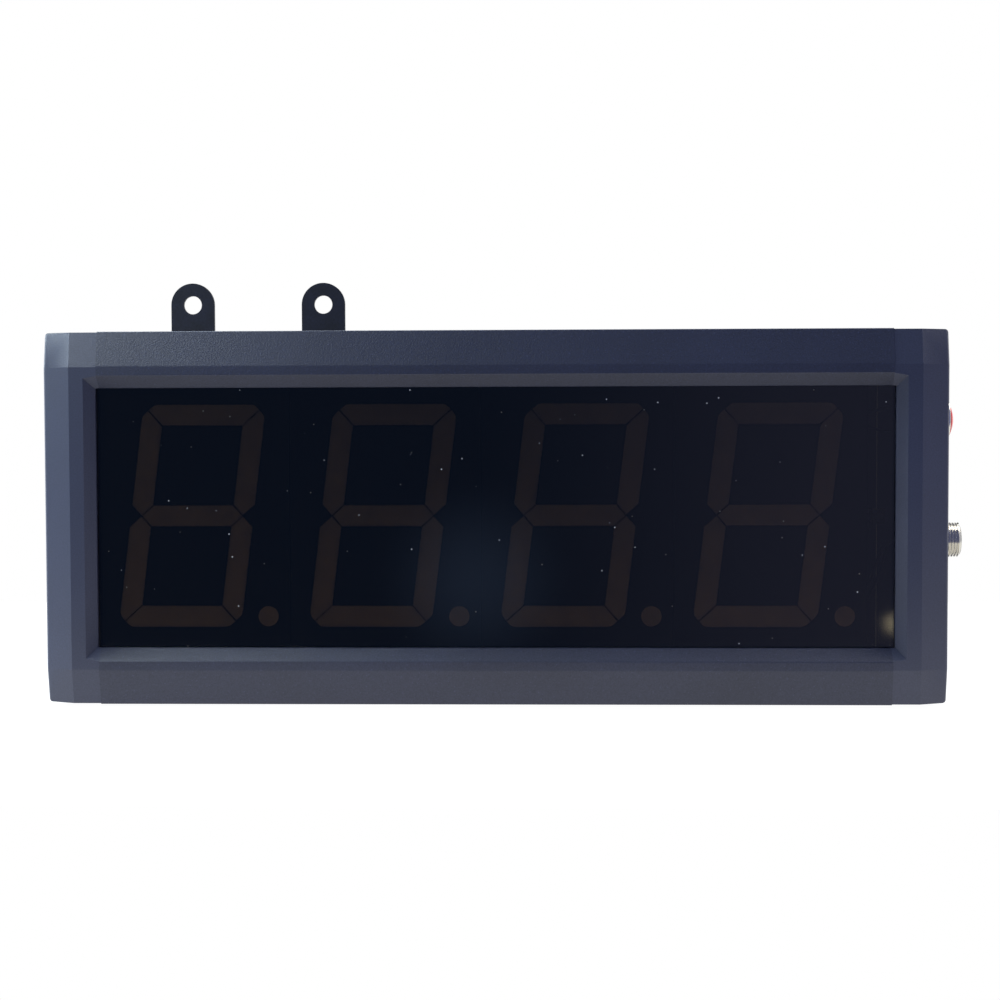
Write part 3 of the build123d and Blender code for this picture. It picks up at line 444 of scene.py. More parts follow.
# Unpigmented nylon: milky, faintly yellow.
HEADER_NYLON = GrainedCoat(
    "natural_nylon", "header_nylon", "ded9c6", 0.45, grain_mm=0.6, depth_mm=0.01, contrast=0.05,
)
# Oiled black oxide: near black, with brown-grey mottling.
BLACK_OXIDE = GrainedCoat(
    "black_oxide", "black_oxide_steel", "24252b", 0.38, grain_mm=0.35, depth_mm=0.008, contrast=0.3,
)
# Powder coat on the stamped lugs: darker and smoother than the rails, with handling marks.
LUG_PAINT = GrainedCoat(
    "lug_powder_coat", "powder_coated_steel", "111424", 0.5, grain_mm=1.2, depth_mm=0.03, contrast=0.3,
    cloud_mm=7, cloud=0.35, specular=0.4,
)
# Polished red ABS: saturated, with a sharp gloss.
RED_ABS = GrainedCoat(
    "glossy_red_abs", "red_plastic", "e0101c", 0.14, grain_mm=3.0, depth_mm=0.004, contrast=0.04,
)
# Satin black nylon.
BLACK_NYLON = GrainedCoat(
    "black_nylon", "black_plastic", "1c1d20", 0.4, grain_mm=0.5, depth_mm=0.01, contrast=0.15,
)
# Extruded PVC on the leads: satin black, slightly wavy along the wire.
BLACK_PVC = GrainedCoat(
    "black_pvc", "lead_insulation_black", "1b1b1e", 0.4, grain_mm=1.5, depth_mm=0.01, contrast=0.1,
)
# Bright nickel on turned brass: mirror-like, with fine lathe rings across the axis.
NICKEL = BareMetal("bright_nickel", "nickel_brass", "d8d4ca", 0.14, hairline_mm=0.5, stretch=(5.0, 1.0, 1.0))
# Tin dip: soft grey-white metal.
TIN = BareMetal("tin_plate", "tinned_metal", "cfcdc6", 0.25)
# Zinc plate: cool grey with a slight haze.
ZINC = BareMetal("zinc_plate", "zinc_steel", "b9bcbe", 0.3, hairline_mm=0.8)
# Hard-drawn wire: hairlines along the wire.
SPRING_WIRE = BareMetal("drawn_spring_wire", "spring_steel", "a4a5a6", 0.28, stretch=(0.2, 1.0, 1.0))


# ------------------------------------------------------------------ mesh tools
# Points nearer than this are one point, and a face under this area is no face.
SAME_PLACE = 0.002 * MM
NO_AREA = 1e-14
# Two faces wider than this are flats, and a bend of more degrees between them is a crease.
BROAD = 3.0 * MM
FLAT_BEND = 8.0


def breadth(face: bmesh.types.BMFace) -> float:
    """Return a face's width across its longest edge."""
    return face.calc_area() / max(edge.calc_length() for edge in face.edges)


def mark_creases(shape: bmesh.types.BMesh, smooth_below: float) -> None:
    """Mark which edges shade sharp: bends over the limit, and small bends between broad flats.

    Args:
        shape: The bmesh to mark.
        smooth_below: Edges that turn less than this many degrees are shaded smooth.
    """
    limit = math.radians(smooth_below)
    flat_limit = math.radians(min(FLAT_BEND, smooth_below))
    for edge in shape.edges:
        broad = min((breadth(face) for face in edge.link_faces), default=0.0) > BROAD
        edge.smooth = edge.calc_face_angle(math.pi) < (flat_limit if broad else limit)


def finished(
    name: str,
    shape: bmesh.types.BMesh,
    finish: Finish,
    body: Body,
    node: str | None = None,
    smooth_below: float = 32.0,
) -> bpy.types.Object:
    """Turn a bmesh into a finished piece that rides on its body.

    Args:
        name: The piece's name.
        shape: The bmesh, in metres and in place. It is freed.
        finish: The finish it gets.
        body: The body it moves with.
        node: The CAD node it stands for, if any.
        smooth_below: Edges that turn less than this many degrees are shaded smooth.

    Returns:
        The new object.
    """
    bmesh.ops.remove_doubles(shape, verts=shape.verts, dist=SAME_PLACE)
    bmesh.ops.recalc_face_normals(shape, faces=shape.faces)
    mark_creases(shape, smooth_below)
    mesh = bpy.data.meshes.new(name)
    shape.to_mesh(mesh)
    shape.free()
    mesh.polygons.foreach_set("use_smooth", [True] * len(mesh.polygons))
    mesh.materials.append(finish.material())
    piece = bpy.data.objects.new(name, mesh)
    bpy.context.scene.collection.objects.link(piece)
    # Large faces keep their own normals, and the rounded edges between them take the bend.
    weighted = piece.modifiers.new("weighted_normals", "WEIGHTED_NORMAL")
    weighted.keep_sharp = True
    weighted.weight = 100
    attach(piece, body.value)
    if node:
        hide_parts(node)
    LOG.info("%s: %d faces", name, len(mesh.polygons))
    return piece


def merged_copy(node: str) -> bmesh.types.BMesh:
    """Copy a CAD node's shape, with shared points and whole flat faces.

    Args:
        node: The CAD node.

    Returns:
        The copy, as a bmesh in metres.
    """
    shape = bmesh.new()
    shape.from_mesh(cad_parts[node].data)
    bmesh.ops.remove_doubles(shape, verts=shape.verts, dist=0.001 * MM)
    bmesh.ops.dissolve_limit(
        shape, angle_limit=math.radians(0.3), verts=shape.verts, edges=shape.edges,
    )
    return shape


def soften(
    shape: bmesh.types.BMesh,
    width: float,
    segments: int = 2,
    sharper_than: float = 22.0,
    chosen: Callable[[bmesh.types.BMEdge], bool] | None = None,
) -> None:
    """Round the sharp edges of a shape.

    Args:
        shape: The bmesh to change.
        width: How far the rounding reaches on each side, in metres.
        segments: Faces across the rounding.
        sharper_than: Only edges that turn more than this many degrees are rounded.
        chosen: A test that limits the rounding to some edges.
    """
    limit = math.radians(sharper_than)
    edges = [
        edge for edge in shape.edges
        if len(edge.link_faces) == 2 and edge.calc_face_angle(0.0) > limit
        and (chosen is None or chosen(edge))
    ]
    bmesh.ops.bevel(
        shape, geom=edges, offset=width, offset_type="OFFSET", segments=segments, profile=0.5,
        affect="EDGES", clamp_overlap=True, material=-1,
    )


def refine(node: str, finish: Finish, body: Body, width: float, longer_than: float = 0.0) -> None:
    """Replace a CAD node by the same shape with its sharp edges rounded.

    Args:
        node: The CAD node.
        finish: The finish it gets.
        body: The body it moves with.
        width: How far the rounding reaches, in metres.
        longer_than: Only edges over this length are rounded, in metres.
    """
    shape = merged_copy(node)
    soften(shape, width, chosen=lambda edge: edge.calc_length() > longer_than)
    finished(f"{node}_shape", shape, finish, body, node)


def thicken(outline: bmesh.types.BMesh, depth: float) -> None:
    """Extrude flat faces backwards into a closed solid.

    Args:
        outline: The bmesh with the faces; it is changed.
        depth: How far back the solid reaches, in metres.
    """
    grown = bmesh.ops.extrude_face_region(outline, geom=list(outline.faces), use_keep_orig=True)
    moved = [item for item in grown["geom"] if isinstance(item, bmesh.types.BMVert)]
    bmesh.ops.translate(outline, verts=moved, vec=(0, depth, 0))


def join(shape: bmesh.types.BMesh, part: bmesh.types.BMesh) -> None:
    """Add one bmesh to another.

    Args:
        shape: The bmesh that gets the part.
        part: The bmesh that is added. It is freed.
    """
    mesh = bpy.data.meshes.new("part")
    part.to_mesh(mesh)
    part.free()
    shape.from_mesh(mesh)
    bpy.data.meshes.remove(mesh)


def dress(node: str, finish: Finish) -> None:
    """Give a CAD node that stays as it is its material.

    Args:
        node: The CAD node.
        finish: The finish it gets.
    """
    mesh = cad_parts[node].data
    mesh.materials.clear()
    mesh.materials.append(finish.material())
    LOG.info("%s: carried over in %s", node, finish.name)


# ------------------------------------------------------------------ the case
@dataclass
class Rail:
    """One extruded rail, its long edges rounded as a die leaves them."""

    node: str
    edge_radius: float = 0.35 * MM
    front_zone: float = -36.0 * MM
    top_zone: float = 84.5 * MM
    whole_length: float = 0.9

    def build(self) -> None:
        """Build the rail."""
        shape = merged_copy(self.node)
        low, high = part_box(self.node)

        def outer_run(edge: bmesh.types.BMEdge) -> bool:
            """Return whether an edge runs the rail's whole length on its outside."""
            start, end = edge.verts[0].co, edge.verts[1].co
            whole = abs(start.x - end.x) > self.whole_length * (high.x - low.x)
            return whole and (start.y < self.front_zone or abs(start.z) > self.top_zone)

        soften(shape, self.edge_radius, segments=3, sharper_than=8.0, chosen=outer_run)
        finished(f"{self.node}_shape", shape, RAIL_COAT, Body.CASE, self.node)


@dataclass
class EndCap:
    """One moulded end cap."""

    node: str
    edge_radius: float = 0.4 * MM
    front_zone: float = -30.0 * MM
    least_breadth: float = 1.5 * MM

    def build(self) -> None:
        """Build the cap."""
        shape = merged_copy(self.node)

        def moulded_edge(edge: bmesh.types.BMEdge) -> bool:
            """Return whether an edge of the front moulding parts two broad faces."""
            in_front = max(vert.co.y for vert in edge.verts) < self.front_zone
            return in_front and min(breadth(face) for face in edge.link_faces) > self.least_breadth

        soften(shape, self.edge_radius, segments=3, sharper_than=8.0, chosen=moulded_edge)
        finished(f"{self.node}_shape", shape, CAP_ABS, Body.CASE, self.node)


@dataclass
class Window:
    """The smoked pane, with edges broken by the saw and the file."""

    edge: float = 0.25 * MM

    def build(self) -> None:
        """Build the pane."""
        shape = merged_copy("window_pane")
        soften(shape, self.edge, segments=1)
        finished("window_pane_shape", shape, PANE_ACRYLIC, Body.CASE, "window_pane", smooth_below=10)


# ------------------------------------------------------------------ the digits
@dataclass
class DigitSegments:
    """Seven slanted bars and a decimal point of one module."""

    number: int
    width: float = 56.1 * MM
    height: float = 101.6 * MM
    stroke: float = 9.3 * MM
    corner_cut: float = 5.6 * MM
    gap: float = 0.8 * MM
    slant: float = math.tan(math.radians(6.9))
    point_offset: Point = (34.8 * MM, -46.15 * MM)
    point_radius: float = 4.65 * MM
    centre_from_left: float = 42.5 * MM
    corner_radius: float = 2.6 * MM
    corner_steps: int = 5
    tip_radius: float = 0.35 * MM
    tip_steps: int = 2
    point_steps: int = 48

    def outlines(self) -> list[tuple[list[Point], set[int]]]:
        """Outline the bars upright, about the digit's centre.

        Returns:
            Each bar's corners, and the numbers of the corners that get the large radius.
        """
        w = self.width / 2 + self.gap / 2
        h = self.height / 2 + self.gap / 2
        t, c = self.stroke + self.gap, self.corner_cut
        top = [
            (c - w, h), (w - c, h), (w - c / 2, h - c / 2),
            (w - t, h - t), (t - w, h - t), (c / 2 - w, h - c / 2),
        ]
        side = [
            (w, h - c), (w - c / 2, h - c / 2), (w - t, h - t),
            (w - t, t / 2), (w - t / 2, 0), (w, t / 2),
        ]
        middle = [
            (w - t / 2, 0), (w - t, t / 2), (t - w, t / 2),
            (t / 2 - w, 0), (t - w, -t / 2), (w - t, -t / 2),
        ]
        bars = [(top, {0, 1}), ([(x, -z) for x, z in top], {0, 1}), (middle, set())]
        for sign_x in (1, -1):
            for sign_z in (1, -1):
                bars.append(([(sign_x * x, sign_z * z) for x, z in side], {0}))
        return bars

    def bar(
        self, corners: Sequence[Point], rounded: set[int], centre: Vector, front: float,
    ) -> bmesh.types.BMesh:
        """Make the flat face of one bar, with its gap taken off and its corners rounded.

        Args:
            corners: The bar's corners, upright and about the digit's centre.
            rounded: The numbers of the corners that get the large radius.
            centre: The digit's centre.
            front: The face's depth.

        Returns:
            A bmesh with the one face.
        """
        bar = bmesh.new()
        places = [Vector((centre.x + x + self.slant * z, front, centre.z + z)) for x, z in corners]
        face = bar.faces.new([bar.verts.new(place) for place in places])
        ring = bmesh.ops.inset_individual(bar, faces=[face], thickness=self.gap / 2, use_even_offset=True)
        bmesh.ops.delete(bar, geom=ring["faces"], context="FACES")
        verts = list(bar.faces)[0].verts
        large = [min(verts, key=lambda vert: (vert.co - places[number]).length) for number in rounded]
        small = [vert for vert in verts if vert not in large]
        for chosen, radius, steps in (
            (small, self.tip_radius, self.tip_steps), (large, self.corner_radius, self.corner_steps),
        ):
            bmesh.ops.bevel(
                bar, geom=chosen, offset=radius, segments=steps, profile=0.5, affect="VERTICES",
                clamp_overlap=True, material=-1,
            )
        return bar

    def build(self) -> None:
        """Build the module's lit parts as one piece."""
        low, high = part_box(f"digit_module_{self.number}")
        front, back = (corner.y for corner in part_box(f"digit_segments_{self.number}"))
        centre = Vector((low.x + self.centre_from_left, 0, (low.z + high.z) / 2))
        shape = bmesh.new()
        for corners, rounded in self.outlines():
            bar = self.bar(corners, rounded, centre, front)
            thicken(bar, back - front)
            join(shape, bar)
        dot = bmesh.new()
        bmesh.ops.create_circle(dot, cap_ends=True, radius=self.point_radius, segments=self.point_steps)
        place = Matrix.Translation((centre.x + self.point_offset[0], front, centre.z + self.point_offset[1]))
        bmesh.ops.transform(dot, matrix=place @ Matrix.Rotation(math.radians(90), 4, "X"), verts=dot.verts)
        thicken(dot, back - front)
        join(shape, dot)
        finished(
            f"digit_segments_{self.number}_shape", shape, SEGMENT_EPOXY, Body.CASE,
            f"digit_segments_{self.number}", smooth_below=40,
        )


@dataclass
class Display:
    """Four digit modules with their segments, standing on the board."""

    digits: int = 4
    module_edge: float = 0.35 * MM
    long_side: float = 60.0 * MM

    def build(self) -> None:
        """Build the display."""
        for number in range(1, self.digits + 1):
            DigitSegments(number).build()
            refine(f"digit_module_{number}", MODULE_INK, Body.CASE, self.module_edge, self.long_side)
        dress("digit_pins", TIN)
        dress("display_board", BOARD_MASK)


@dataclass
class Electronics:
    """What stands on the board's rear side, and the leads."""

    finishes: dict[str, Finish] = field(default_factory=lambda: {
        "controller_chip": CHIP_EPOXY,
        "driver_chips": CHIP_EPOXY,
        "crystal": TIN,
        "capacitors": SLEEVE_PVC,
        "voltage_regulator": CHIP_EPOXY,
        "resistors": RESISTOR_CERAMIC,
        "buzzer": BLACK_NYLON,
        "power_header": HEADER_NYLON,
        "button_header": HEADER_NYLON,
        "ir_receiver": CHIP_EPOXY,
        "power_leads": BLACK_PVC,
        "button_leads": BLACK_PVC,
    })

    def build(self) -> None:
        """Dress every part on the board."""
        for node, finish in self.finishes.items():
            dress(node, finish)


# ------------------------------------------------------------------ side fittings and hardware
@dataclass
class Turned:
    """Shapes turned about an axis along X, as the side fittings are.

    A thread's base sinks a little into its barrel. Its ridge has risen, starts to fall and has
    fallen at the given shares of the pitch.
    """

    height: float
    depth: float = -22.0 * MM
    steps: int = 64
    sink: float = 0.01 * MM
    ridge_rise: float = 0.38
    ridge_top: float = 0.50
    ridge_fall: float = 0.88

    def point(self, x: float, radius: float) -> Vector:
        """Return the place at x along the axis and radius above it."""
        return Vector((x, self.depth, self.height + radius))

    @property
    def centre(self) -> tuple[float, float, float]:
        """A point on the axis."""
        return (0.0, self.depth, self.height)

    def turn(self, shape: bmesh.types.BMesh, profile: Sequence[Point], closed: bool = True) -> None:
        """Turn a profile full circle.

        Args:
            shape: The bmesh that gets the surface.
            profile: Places along the axis and radii, in metres.
            closed: Whether the last point joins the first.
        """
        points = [shape.verts.new(self.point(*place)) for place in profile]
        after = points[1:] + points[:1] if closed else points[1:]
        lines = [shape.edges.new(pair) for pair in zip(points, after)]
        bmesh.ops.spin(
            shape, geom=points + lines, cent=self.centre, axis=(1, 0, 0), angle=2 * math.pi,
            steps=self.steps, use_merge=True,
        )
        bmesh.ops.remove_doubles(shape, verts=shape.verts, dist=SAME_PLACE)
        flat = [face for face in shape.faces if face.calc_area() < NO_AREA]
        bmesh.ops.delete(shape, geom=flat, context="FACES")

    def thread(
        self, shape: bmesh.types.BMesh, start: float, end: float, root: float, crest: float, pitch: float,
    ) -> None:
        """Wind a V-shaped thread.

        Args:
            shape: The bmesh that gets the thread.
            start: Where the thread starts along the axis.
            end: Where it ends.
            root: Radius in the groove.
            crest: Radius on the ridge.
            pitch: Advance of each turn.
        """
        turns = int((end - start) / pitch) - 1
        base = root - self.sink
        ridge = [
            (start, base), (start + self.ridge_rise * pitch, crest), (start + self.ridge_top * pitch, crest),
            (start + self.ridge_fall * pitch, base), (start + pitch, base),
        ]
        points = [shape.verts.new(self.point(*place)) for place in ridge]
        lines = [shape.edges.new(pair) for pair in zip(points, points[1:])]
        bmesh.ops.spin(
            shape, geom=points + lines, cent=self.centre, axis=(1, 0, 0), angle=2 * math.pi * turns,
            dvec=(pitch / self.steps, 0, 0), steps=self.steps * turns,
        )
        bmesh.ops.remove_doubles(shape, verts=shape.verts, dist=2 * SAME_PLACE)


def arc(centre: Point, radius: float, start: float, end: float, segments: int = 6) -> list[Point]:
    """Return points on an arc, from the start angle to the end angle in degrees."""
    angles = [math.radians(start + (end - start) * i / segments) for i in range(segments + 1)]
    return [(centre[0] + radius * math.cos(a), centre[1] + radius * math.sin(a)) for a in angles]


@dataclass
class ThreadedSocket:
    """The power socket: a threaded nickel shell, its flange, its nut and the contacts."""

    axis: Turned = field(default_factory=lambda: Turned(height=-11.3 * MM))
    bore: float = 6.6 * MM
    crest: float = 7.98 * MM
    root: float = 7.4 * MM
    pitch: float = 1.27 * MM
    start: float = 193.0 * MM
    end: float = 213.2 * MM
    wall: float = 205.0 * MM
    flange: float = 1.2 * MM
    flange_radius: float = 9.4 * MM
    edge: float = 0.3 * MM
    thread_end: float = 213.1 * MM
    lead: float = 0.2 * MM
    nut_edge: float = 0.25 * MM

    def build(self) -> None:
        """Build the socket."""
        shell = bmesh.new()
        inner, root, end, edge = self.bore, self.root, self.end, self.edge
        self.axis.turn(shell, [
            (self.start, inner), (self.start, root - edge), (self.start + edge, root),
            (end - 2 * edge, root), (end, root - 2 * edge), (end, inner + edge), (end - edge, inner),
        ])
        rim = bmesh.new()
        front = self.wall + self.flange
        self.axis.turn(rim, [
            (self.wall, root - edge), (self.wall, self.flange_radius), (front - edge, self.flange_radius),
            *arc((front - edge, self.flange_radius - edge), edge, 90, 0), (front, root - edge),
        ])
        join(shell, rim)
        for low, high in ((front, self.thread_end), (self.start + edge, self.wall)):
            ridge = bmesh.new()
            self.axis.thread(ridge, low - self.lead, high + self.pitch, root, self.crest, self.pitch)
            join(shell, ridge)
        finished("socket_shell_shape", shell, NICKEL, Body.CASE, "socket_shell", smooth_below=25)
        refine("socket_nut", NICKEL, Body.CASE, self.nut_edge)
        dress("socket_washer", ZINC)
        dress("socket_insert", BLACK_NYLON)
        dress("socket_pins", TIN)


@dataclass
class PushButton:
    """The start button: nickel body, glossy red cap on a plunger, and a return spring."""

    axis: Turned = field(default_factory=lambda: Turned(height=43.8 * MM))
    wall: float = 205.0 * MM
    back: float = 187.0 * MM
    bore_floor: float = 194.5 * MM
    flange_top: float = 207.0 * MM
    flange_radius: float = 11.5 * MM
    flange_round: float = 0.8 * MM
    barrel: float = 9.48 * MM
    barrel_root: float = 9.05 * MM
    bore: float = 7.88 * MM
    guide: float = 3.05 * MM
    cap_radius: float = 7.8 * MM
    cap_top: float = 210.1 * MM
    cap_base: float = 200.5 * MM
    cavity: float = 6.2 * MM
    cavity_top: float = 206.5 * MM
    dome: float = 15.0 * MM
    rounding: float = 0.5 * MM
    dome_drop: float = 0.35 * MM
    fine: float = 0.2 * MM
    floor_hole: float = 4.05 * MM
    floor_thickness: float = 2.0 * MM
    thread_start: float = 187.3 * MM
    thread_end: float = 202.4 * MM
    thread_pitch: float = 1.0 * MM
    nut_edge: float = 0.25 * MM
    plunger_edge: float = 0.3 * MM
    coil: float = 4.4 * MM
    wire: float = 0.38 * MM
    wire_sides: int = 10
    coil_turns: int = 7
    coil_steps: int = 28
    coil_start: float = 194.95 * MM
    coil_length: float = 11.1 * MM
    coil_kept: float = 0.74

    def body(self) -> None:
        """Turn the body and wind the thread of its barrel."""
        shape = bmesh.new()
        r = self.flange_round
        floor = self.back + self.floor_thickness
        self.axis.turn(shape, [
            (self.back, self.floor_hole), (self.back, self.barrel_root), (self.wall, self.barrel_root),
            (self.wall, self.flange_radius),
            *arc((self.flange_top - r, self.flange_radius - r), r, 90, 0),
            *arc((self.flange_top - self.fine, self.bore + self.fine), self.fine, 0, -90, 3),
            (self.bore_floor, self.bore), (self.bore_floor, self.guide),
            (floor, self.guide), (floor, self.floor_hole),
        ])
        ridge = bmesh.new()
        self.axis.thread(
            ridge, self.thread_start, self.thread_end, self.barrel_root, self.barrel, self.thread_pitch,
        )
        join(shape, ridge)
        finished("button_body_shape", shape, NICKEL, Body.CASE, "button_body", smooth_below=25)

    def cap(self) -> None:
        """Turn the domed cap with its edge rounded over."""
        shape = bmesh.new()
        top_centre = self.cap_top - self.dome
        edge_angle = math.degrees(math.asin((self.cap_radius - self.rounding) / self.dome))
        dome = arc((top_centre, 0.0), self.dome, 0, edge_angle, 14)
        base = dome[-1][0] - self.dome_drop
        self.axis.turn(shape, [
            *dome, *arc((base, self.cap_radius - self.rounding), self.rounding, 60, 90, 4),
            (self.cap_base + self.fine, self.cap_radius), (self.cap_base, self.cap_radius - self.fine),
            (self.cap_base, self.cavity), (self.cavity_top, self.cavity), (self.cavity_top, 0.0),
        ], closed=False)
        finished("button_cap_shape", shape, RED_ABS, Body.BUTTON, "button_cap", smooth_below=35)

    def spring(self) -> None:
        """Wind the return spring."""
        shape = bmesh.new()
        ring = bmesh.ops.create_circle(shape, radius=self.wire, segments=self.wire_sides)["verts"]
        place = Matrix.Translation(self.axis.point(self.coil_start, self.coil))
        bmesh.ops.transform(shape, matrix=place @ Matrix.Rotation(math.radians(90), 4, "X"), verts=ring)
        steps = self.coil_turns * self.coil_steps
        bmesh.ops.spin(
            shape, geom=ring + list(shape.edges), cent=self.axis.centre, axis=(1, 0, 0),
            dvec=(self.coil_length / steps, 0, 0), angle=2 * math.pi * self.coil_turns, steps=steps,
        )
        ends = [edge for edge in shape.edges if edge.is_boundary]
        bmesh.ops.holes_fill(shape, edges=ends)
        piece = finished(
            "button_spring_coil", shape, SPRING_WIRE, Body.CASE, "button_spring", smooth_below=50,
        )
        seat = tuple(self.axis.point(self.bore_floor, 0))
        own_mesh(piece)

    def build(self) -> None:
        """Build the button."""
        self.body()
        self.cap()
        self.spring()
        refine("button_nut", NICKEL, Body.CASE, self.nut_edge)
        dress("button_washer", ZINC)
        dress("button_terminals", TIN)
        refine("button_plunger", BLACK_NYLON, Body.BUTTON, self.plunger_edge)


@dataclass
class Hardware:
    """Lugs, screws and the back panel."""

    lug_edge: float = 0.25 * MM
    screw_edge: float = 0.15 * MM
    small_screw_edge: float = 0.08 * MM

    def build(self) -> None:
        """Build the hardware."""
        for side, body in (("left", Body.LEFT_LUG), ("right", Body.RIGHT_LUG)):
            refine(f"{side}_hanging_lug", LUG_PAINT, body, self.lug_edge)
            refine(f"{side}_lug_screw", BLACK_OXIDE, body, self.screw_edge)
        refine("cap_screws", BLACK_OXIDE, Body.CASE, self.screw_edge)
        refine("back_panel_screws", BLACK_OXIDE, Body.CASE, self.small_screw_edge)
        dress("back_panel", PANEL_STEEL)


# ------------------------------------------------------------------ studio
@dataclass(frozen=True)
class SoftBox:
    """An area light of the studio."""

    name: str
    place: tuple[float, float, float]
    target: tuple[float, float, float]
    size: tuple[float, float]
    power: float
    colour: str = "ffffff"

    def build(self) -> None:
        """Hang the light."""
        lamp = bpy.data.lights.new(self.name, "AREA")
        lamp.shape = "RECTANGLE"
        lamp.size, lamp.size_y = self.size
        lamp.energy = self.power
        lamp.color = linear(self.colour)[:3]
        holder = bpy.data.objects.new(self.name, lamp)
        holder.location = self.place
        aim = Vector(self.target) - Vector(self.place)
        holder.rotation_euler = aim.to_track_quat("-Z", "Y").to_euler()
        bpy.context.scene.collection.objects.link(holder)


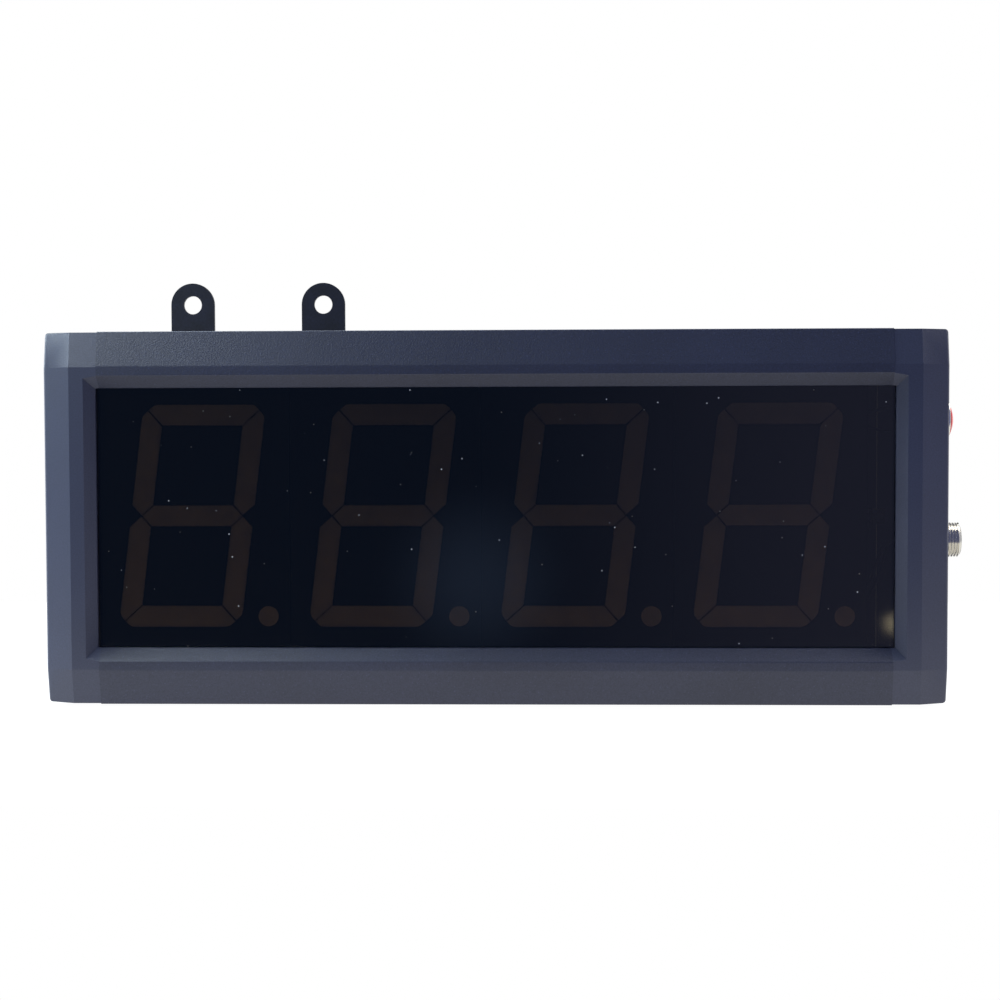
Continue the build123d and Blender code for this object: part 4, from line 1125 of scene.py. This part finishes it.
@dataclass
class Studio:
    """Floor, lights, surroundings and camera.

    The room before the timer is dim and blue, lighter on the right, with one far doorway and
    one far warm lamp, which the window reflects.
    """

    floor_drop: float = 0.002
    room_left: tuple[float, ...] = (0.05, 0.085, 0.2, 1.0)
    room_right: tuple[float, ...] = (0.185, 0.209, 0.40, 1.0)
    doorway: tuple[float, float, float] = (-0.045, -0.996, -0.085)
    doorway_reach: float = 0.06
    doorway_colour: tuple[float, ...] = (0.16, 0.25, 0.5, 1.0)
    far_lamp: tuple[float, float, float] = (0.187, -0.976, -0.108)
    far_lamp_reach: float = 0.008
    far_lamp_colour: tuple[float, ...] = (3.6, 3.2, 2.4, 1.0)
    floor_width: float = 2.4
    floor_front: float = -0.25
    floor_back: float = 0.45
    camera_place: tuple[float, float, float] = (0.0279, -0.8358, 0.0399)
    camera_forward: tuple[float, float, float] = (-0.03120, 0.99871, -0.03995)
    camera_up: tuple[float, float, float] = (0.00174, 0.04002, 0.99920)
    lens: float = 63.36
    lights: tuple[SoftBox, ...] = (
        SoftBox("key_left", (-1.049, 0.185, 0.746), (0, -0.03, 0), (0.55, 0.55), 60.0, "edffff"),
        SoftBox("high_left", (-0.541, 0.095, 1.178), (0, -0.03, 0), (0.55, 0.55), 13.0, "f0fdff"),
        SoftBox("near_left", (-0.45, -0.35, 0.36), (-0.17, -0.03, 0.05), (0.3, 0.3), 1.7, "f0fdff"),
        SoftBox("low_left", (-0.624, -0.999, 0.549), (0, -0.03, 0), (0.3, 0.3), 1.5, "f0fdff"),
        SoftBox("rim_right", (1.049, 0.185, 0.746), (0, -0.03, 0), (0.55, 0.55), 9.3),
        SoftBox("high_right", (0.541, 0.095, 1.178), (0, -0.03, 0), (0.55, 0.55), 6.5),
    )

    def floor(self) -> None:
        """Lay the plain pale table top, which is lit from below."""
        sheet = bmesh.new()
        bmesh.ops.create_grid(sheet, x_segments=1, y_segments=1, size=0.5)
        depth = self.floor_back - self.floor_front
        bmesh.ops.scale(sheet, verts=sheet.verts, vec=(self.floor_width, depth, 1))
        middle = (self.floor_front + self.floor_back) / 2
        level = CAD_BOX[0].z - self.floor_drop
        bmesh.ops.translate(sheet, verts=sheet.verts, vec=(0, middle, level))
        mesh = bpy.data.meshes.new("table_top")
        sheet.to_mesh(mesh)
        sheet.free()
        material = bpy.data.materials.new("backlit_opal_glass")
        material.use_nodes = True
        tree = material.node_tree
        shader = tree.nodes["Principled BSDF"]
        place = add_node(tree, "ShaderNodeTexCoord").outputs["Object"]
        cloud = add_node(tree, "ShaderNodeTexNoise", {"Vector": place, "Scale": 3.0}).outputs["Fac"]
        colour = add_node(
            tree, "ShaderNodeMix", {0: cloud, 6: linear("fafafb"), 7: linear("ffffff")}, data_type="RGBA",
        ).outputs[2]
        tree.links.new(colour, shader.inputs["Emission Color"])
        shader.inputs["Emission Strength"].default_value = 1.0
        shader.inputs["Base Color"].default_value = linear("303030")
        shader.inputs["Roughness"].default_value = 0.9
        mesh.materials.append(material)
        floor = bpy.data.objects.new("table_top", mesh)
        bpy.context.scene.collection.objects.link(floor)

    @staticmethod
    def glow(
        tree: bpy.types.NodeTree,
        direction: bpy.types.NodeSocket,
        base: bpy.types.NodeSocket,
        toward: tuple[float, float, float],
        reach: float,
        colour: tuple[float, ...],
    ) -> bpy.types.NodeSocket:
        """Lay one soft round light over the surroundings.

        Args:
            tree: The node tree of the surroundings.
            direction: The direction that is looked up.
            base: The colour under the light.
            toward: The light's direction.
            reach: Its radius, as a distance between unit directions.
            colour: Its colour in the middle.

        Returns:
            The colour with the light on it.
        """
        away = add_node(
            tree, "ShaderNodeVectorMath", {0: direction, 1: toward}, operation="DISTANCE",
        ).outputs["Value"]
        share = add_node(
            tree, "ShaderNodeMapRange",
            {"Value": away, "From Min": 0.0, "From Max": reach, "To Min": 1.0, "To Max": 0.0},
            interpolation_type="SMOOTHSTEP",
        ).outputs["Result"]
        return add_node(tree, "ShaderNodeMix", {0: share, 6: base, 7: colour}, data_type="RGBA").outputs[2]

    def surroundings(self) -> None:
        """Make the surroundings: a white wall behind the timer, and a dim blue room before it."""
        world = bpy.data.worlds.new("studio_room")
        bpy.context.scene.world = world
        world.use_nodes = True
        tree = world.node_tree
        tree.nodes.clear()
        direction = add_node(tree, "ShaderNodeTexCoord").outputs["Generated"]
        split = add_node(tree, "ShaderNodeSeparateXYZ", {0: direction})
        behind = add_node(
            tree, "ShaderNodeMapRange",
            {"Value": split.outputs["Y"], "From Min": -0.1, "From Max": 0.3, "To Min": 0.0, "To Max": 1.0},
        ).outputs["Result"]
        rightward = add_node(
            tree, "ShaderNodeMapRange",
            {"Value": split.outputs["X"], "From Min": -0.06, "From Max": 0.2, "To Min": 0.0, "To Max": 1.0},
            interpolation_type="SMOOTHSTEP",
        ).outputs["Result"]
        before = add_node(
            tree, "ShaderNodeMix", {0: rightward, 6: self.room_left, 7: self.room_right}, data_type="RGBA",
        ).outputs[2]
        before = self.glow(tree, direction, before, self.doorway, self.doorway_reach, self.doorway_colour)
        before = self.glow(tree, direction, before, self.far_lamp, self.far_lamp_reach, self.far_lamp_colour)
        room = add_node(
            tree, "ShaderNodeMix", {0: behind, 6: before, 7: (1.0, 1.0, 1.0, 1.0)}, data_type="RGBA",
        ).outputs[2]
        seen = add_node(tree, "ShaderNodeBackground", {"Color": (1, 1, 1, 1), "Strength": 1.0}).outputs[0]
        lit = add_node(tree, "ShaderNodeBackground", {"Color": room, "Strength": 1.0}).outputs[0]
        direct = add_node(tree, "ShaderNodeLightPath").outputs["Is Camera Ray"]
        both = add_node(tree, "ShaderNodeMixShader", {0: direct, 1: lit, 2: seen}).outputs[0]
        add_node(tree, "ShaderNodeOutputWorld", {"Surface": both})

    def camera(self) -> None:
        """Set up the camera, level with the timer and a little to its right."""
        lens = bpy.data.cameras.new("camera")
        lens.sensor_width = 36.0
        lens.lens = self.lens
        lens.clip_start, lens.clip_end = 0.01, 50.0
        holder = bpy.data.objects.new("camera", lens)
        forward, up = Vector(self.camera_forward).normalized(), Vector(self.camera_up)
        right = forward.cross(up).normalized()
        up = right.cross(forward)
        turn = Matrix((right, up, -forward)).transposed().to_4x4()
        holder.matrix_world = Matrix.Translation(self.camera_place) @ turn
        bpy.context.scene.collection.objects.link(holder)
        bpy.context.scene.camera = holder

    def build(self) -> None:
        """Build the studio."""
        bpy.context.scene.view_settings.view_transform = "Standard"
        self.floor()
        self.surroundings()
        for light in self.lights:
            light.build()
        self.camera()


def corners(box: Sequence[Sequence[float]]) -> list[list[float]]:
    """Return a box as plain lists of numbers."""
    return [[float(value) for value in corner] for corner in box]


def main() -> None:
    """Build the timer and its studio, in order."""
    logging.basicConfig(level=logging.INFO, format="%(message)s")
    Studio().build()
    for rail in ("top_rail", "bottom_rail"):
        Rail(rail).build()
    for cap in ("left_end_cap", "right_end_cap"):
        EndCap(cap).build()
    Window().build()
    Display().build()
    Electronics().build()
    PushButton().build()
    ThreadedSocket().build()
    Hardware().build()


if __name__ == "__main__":
    main()
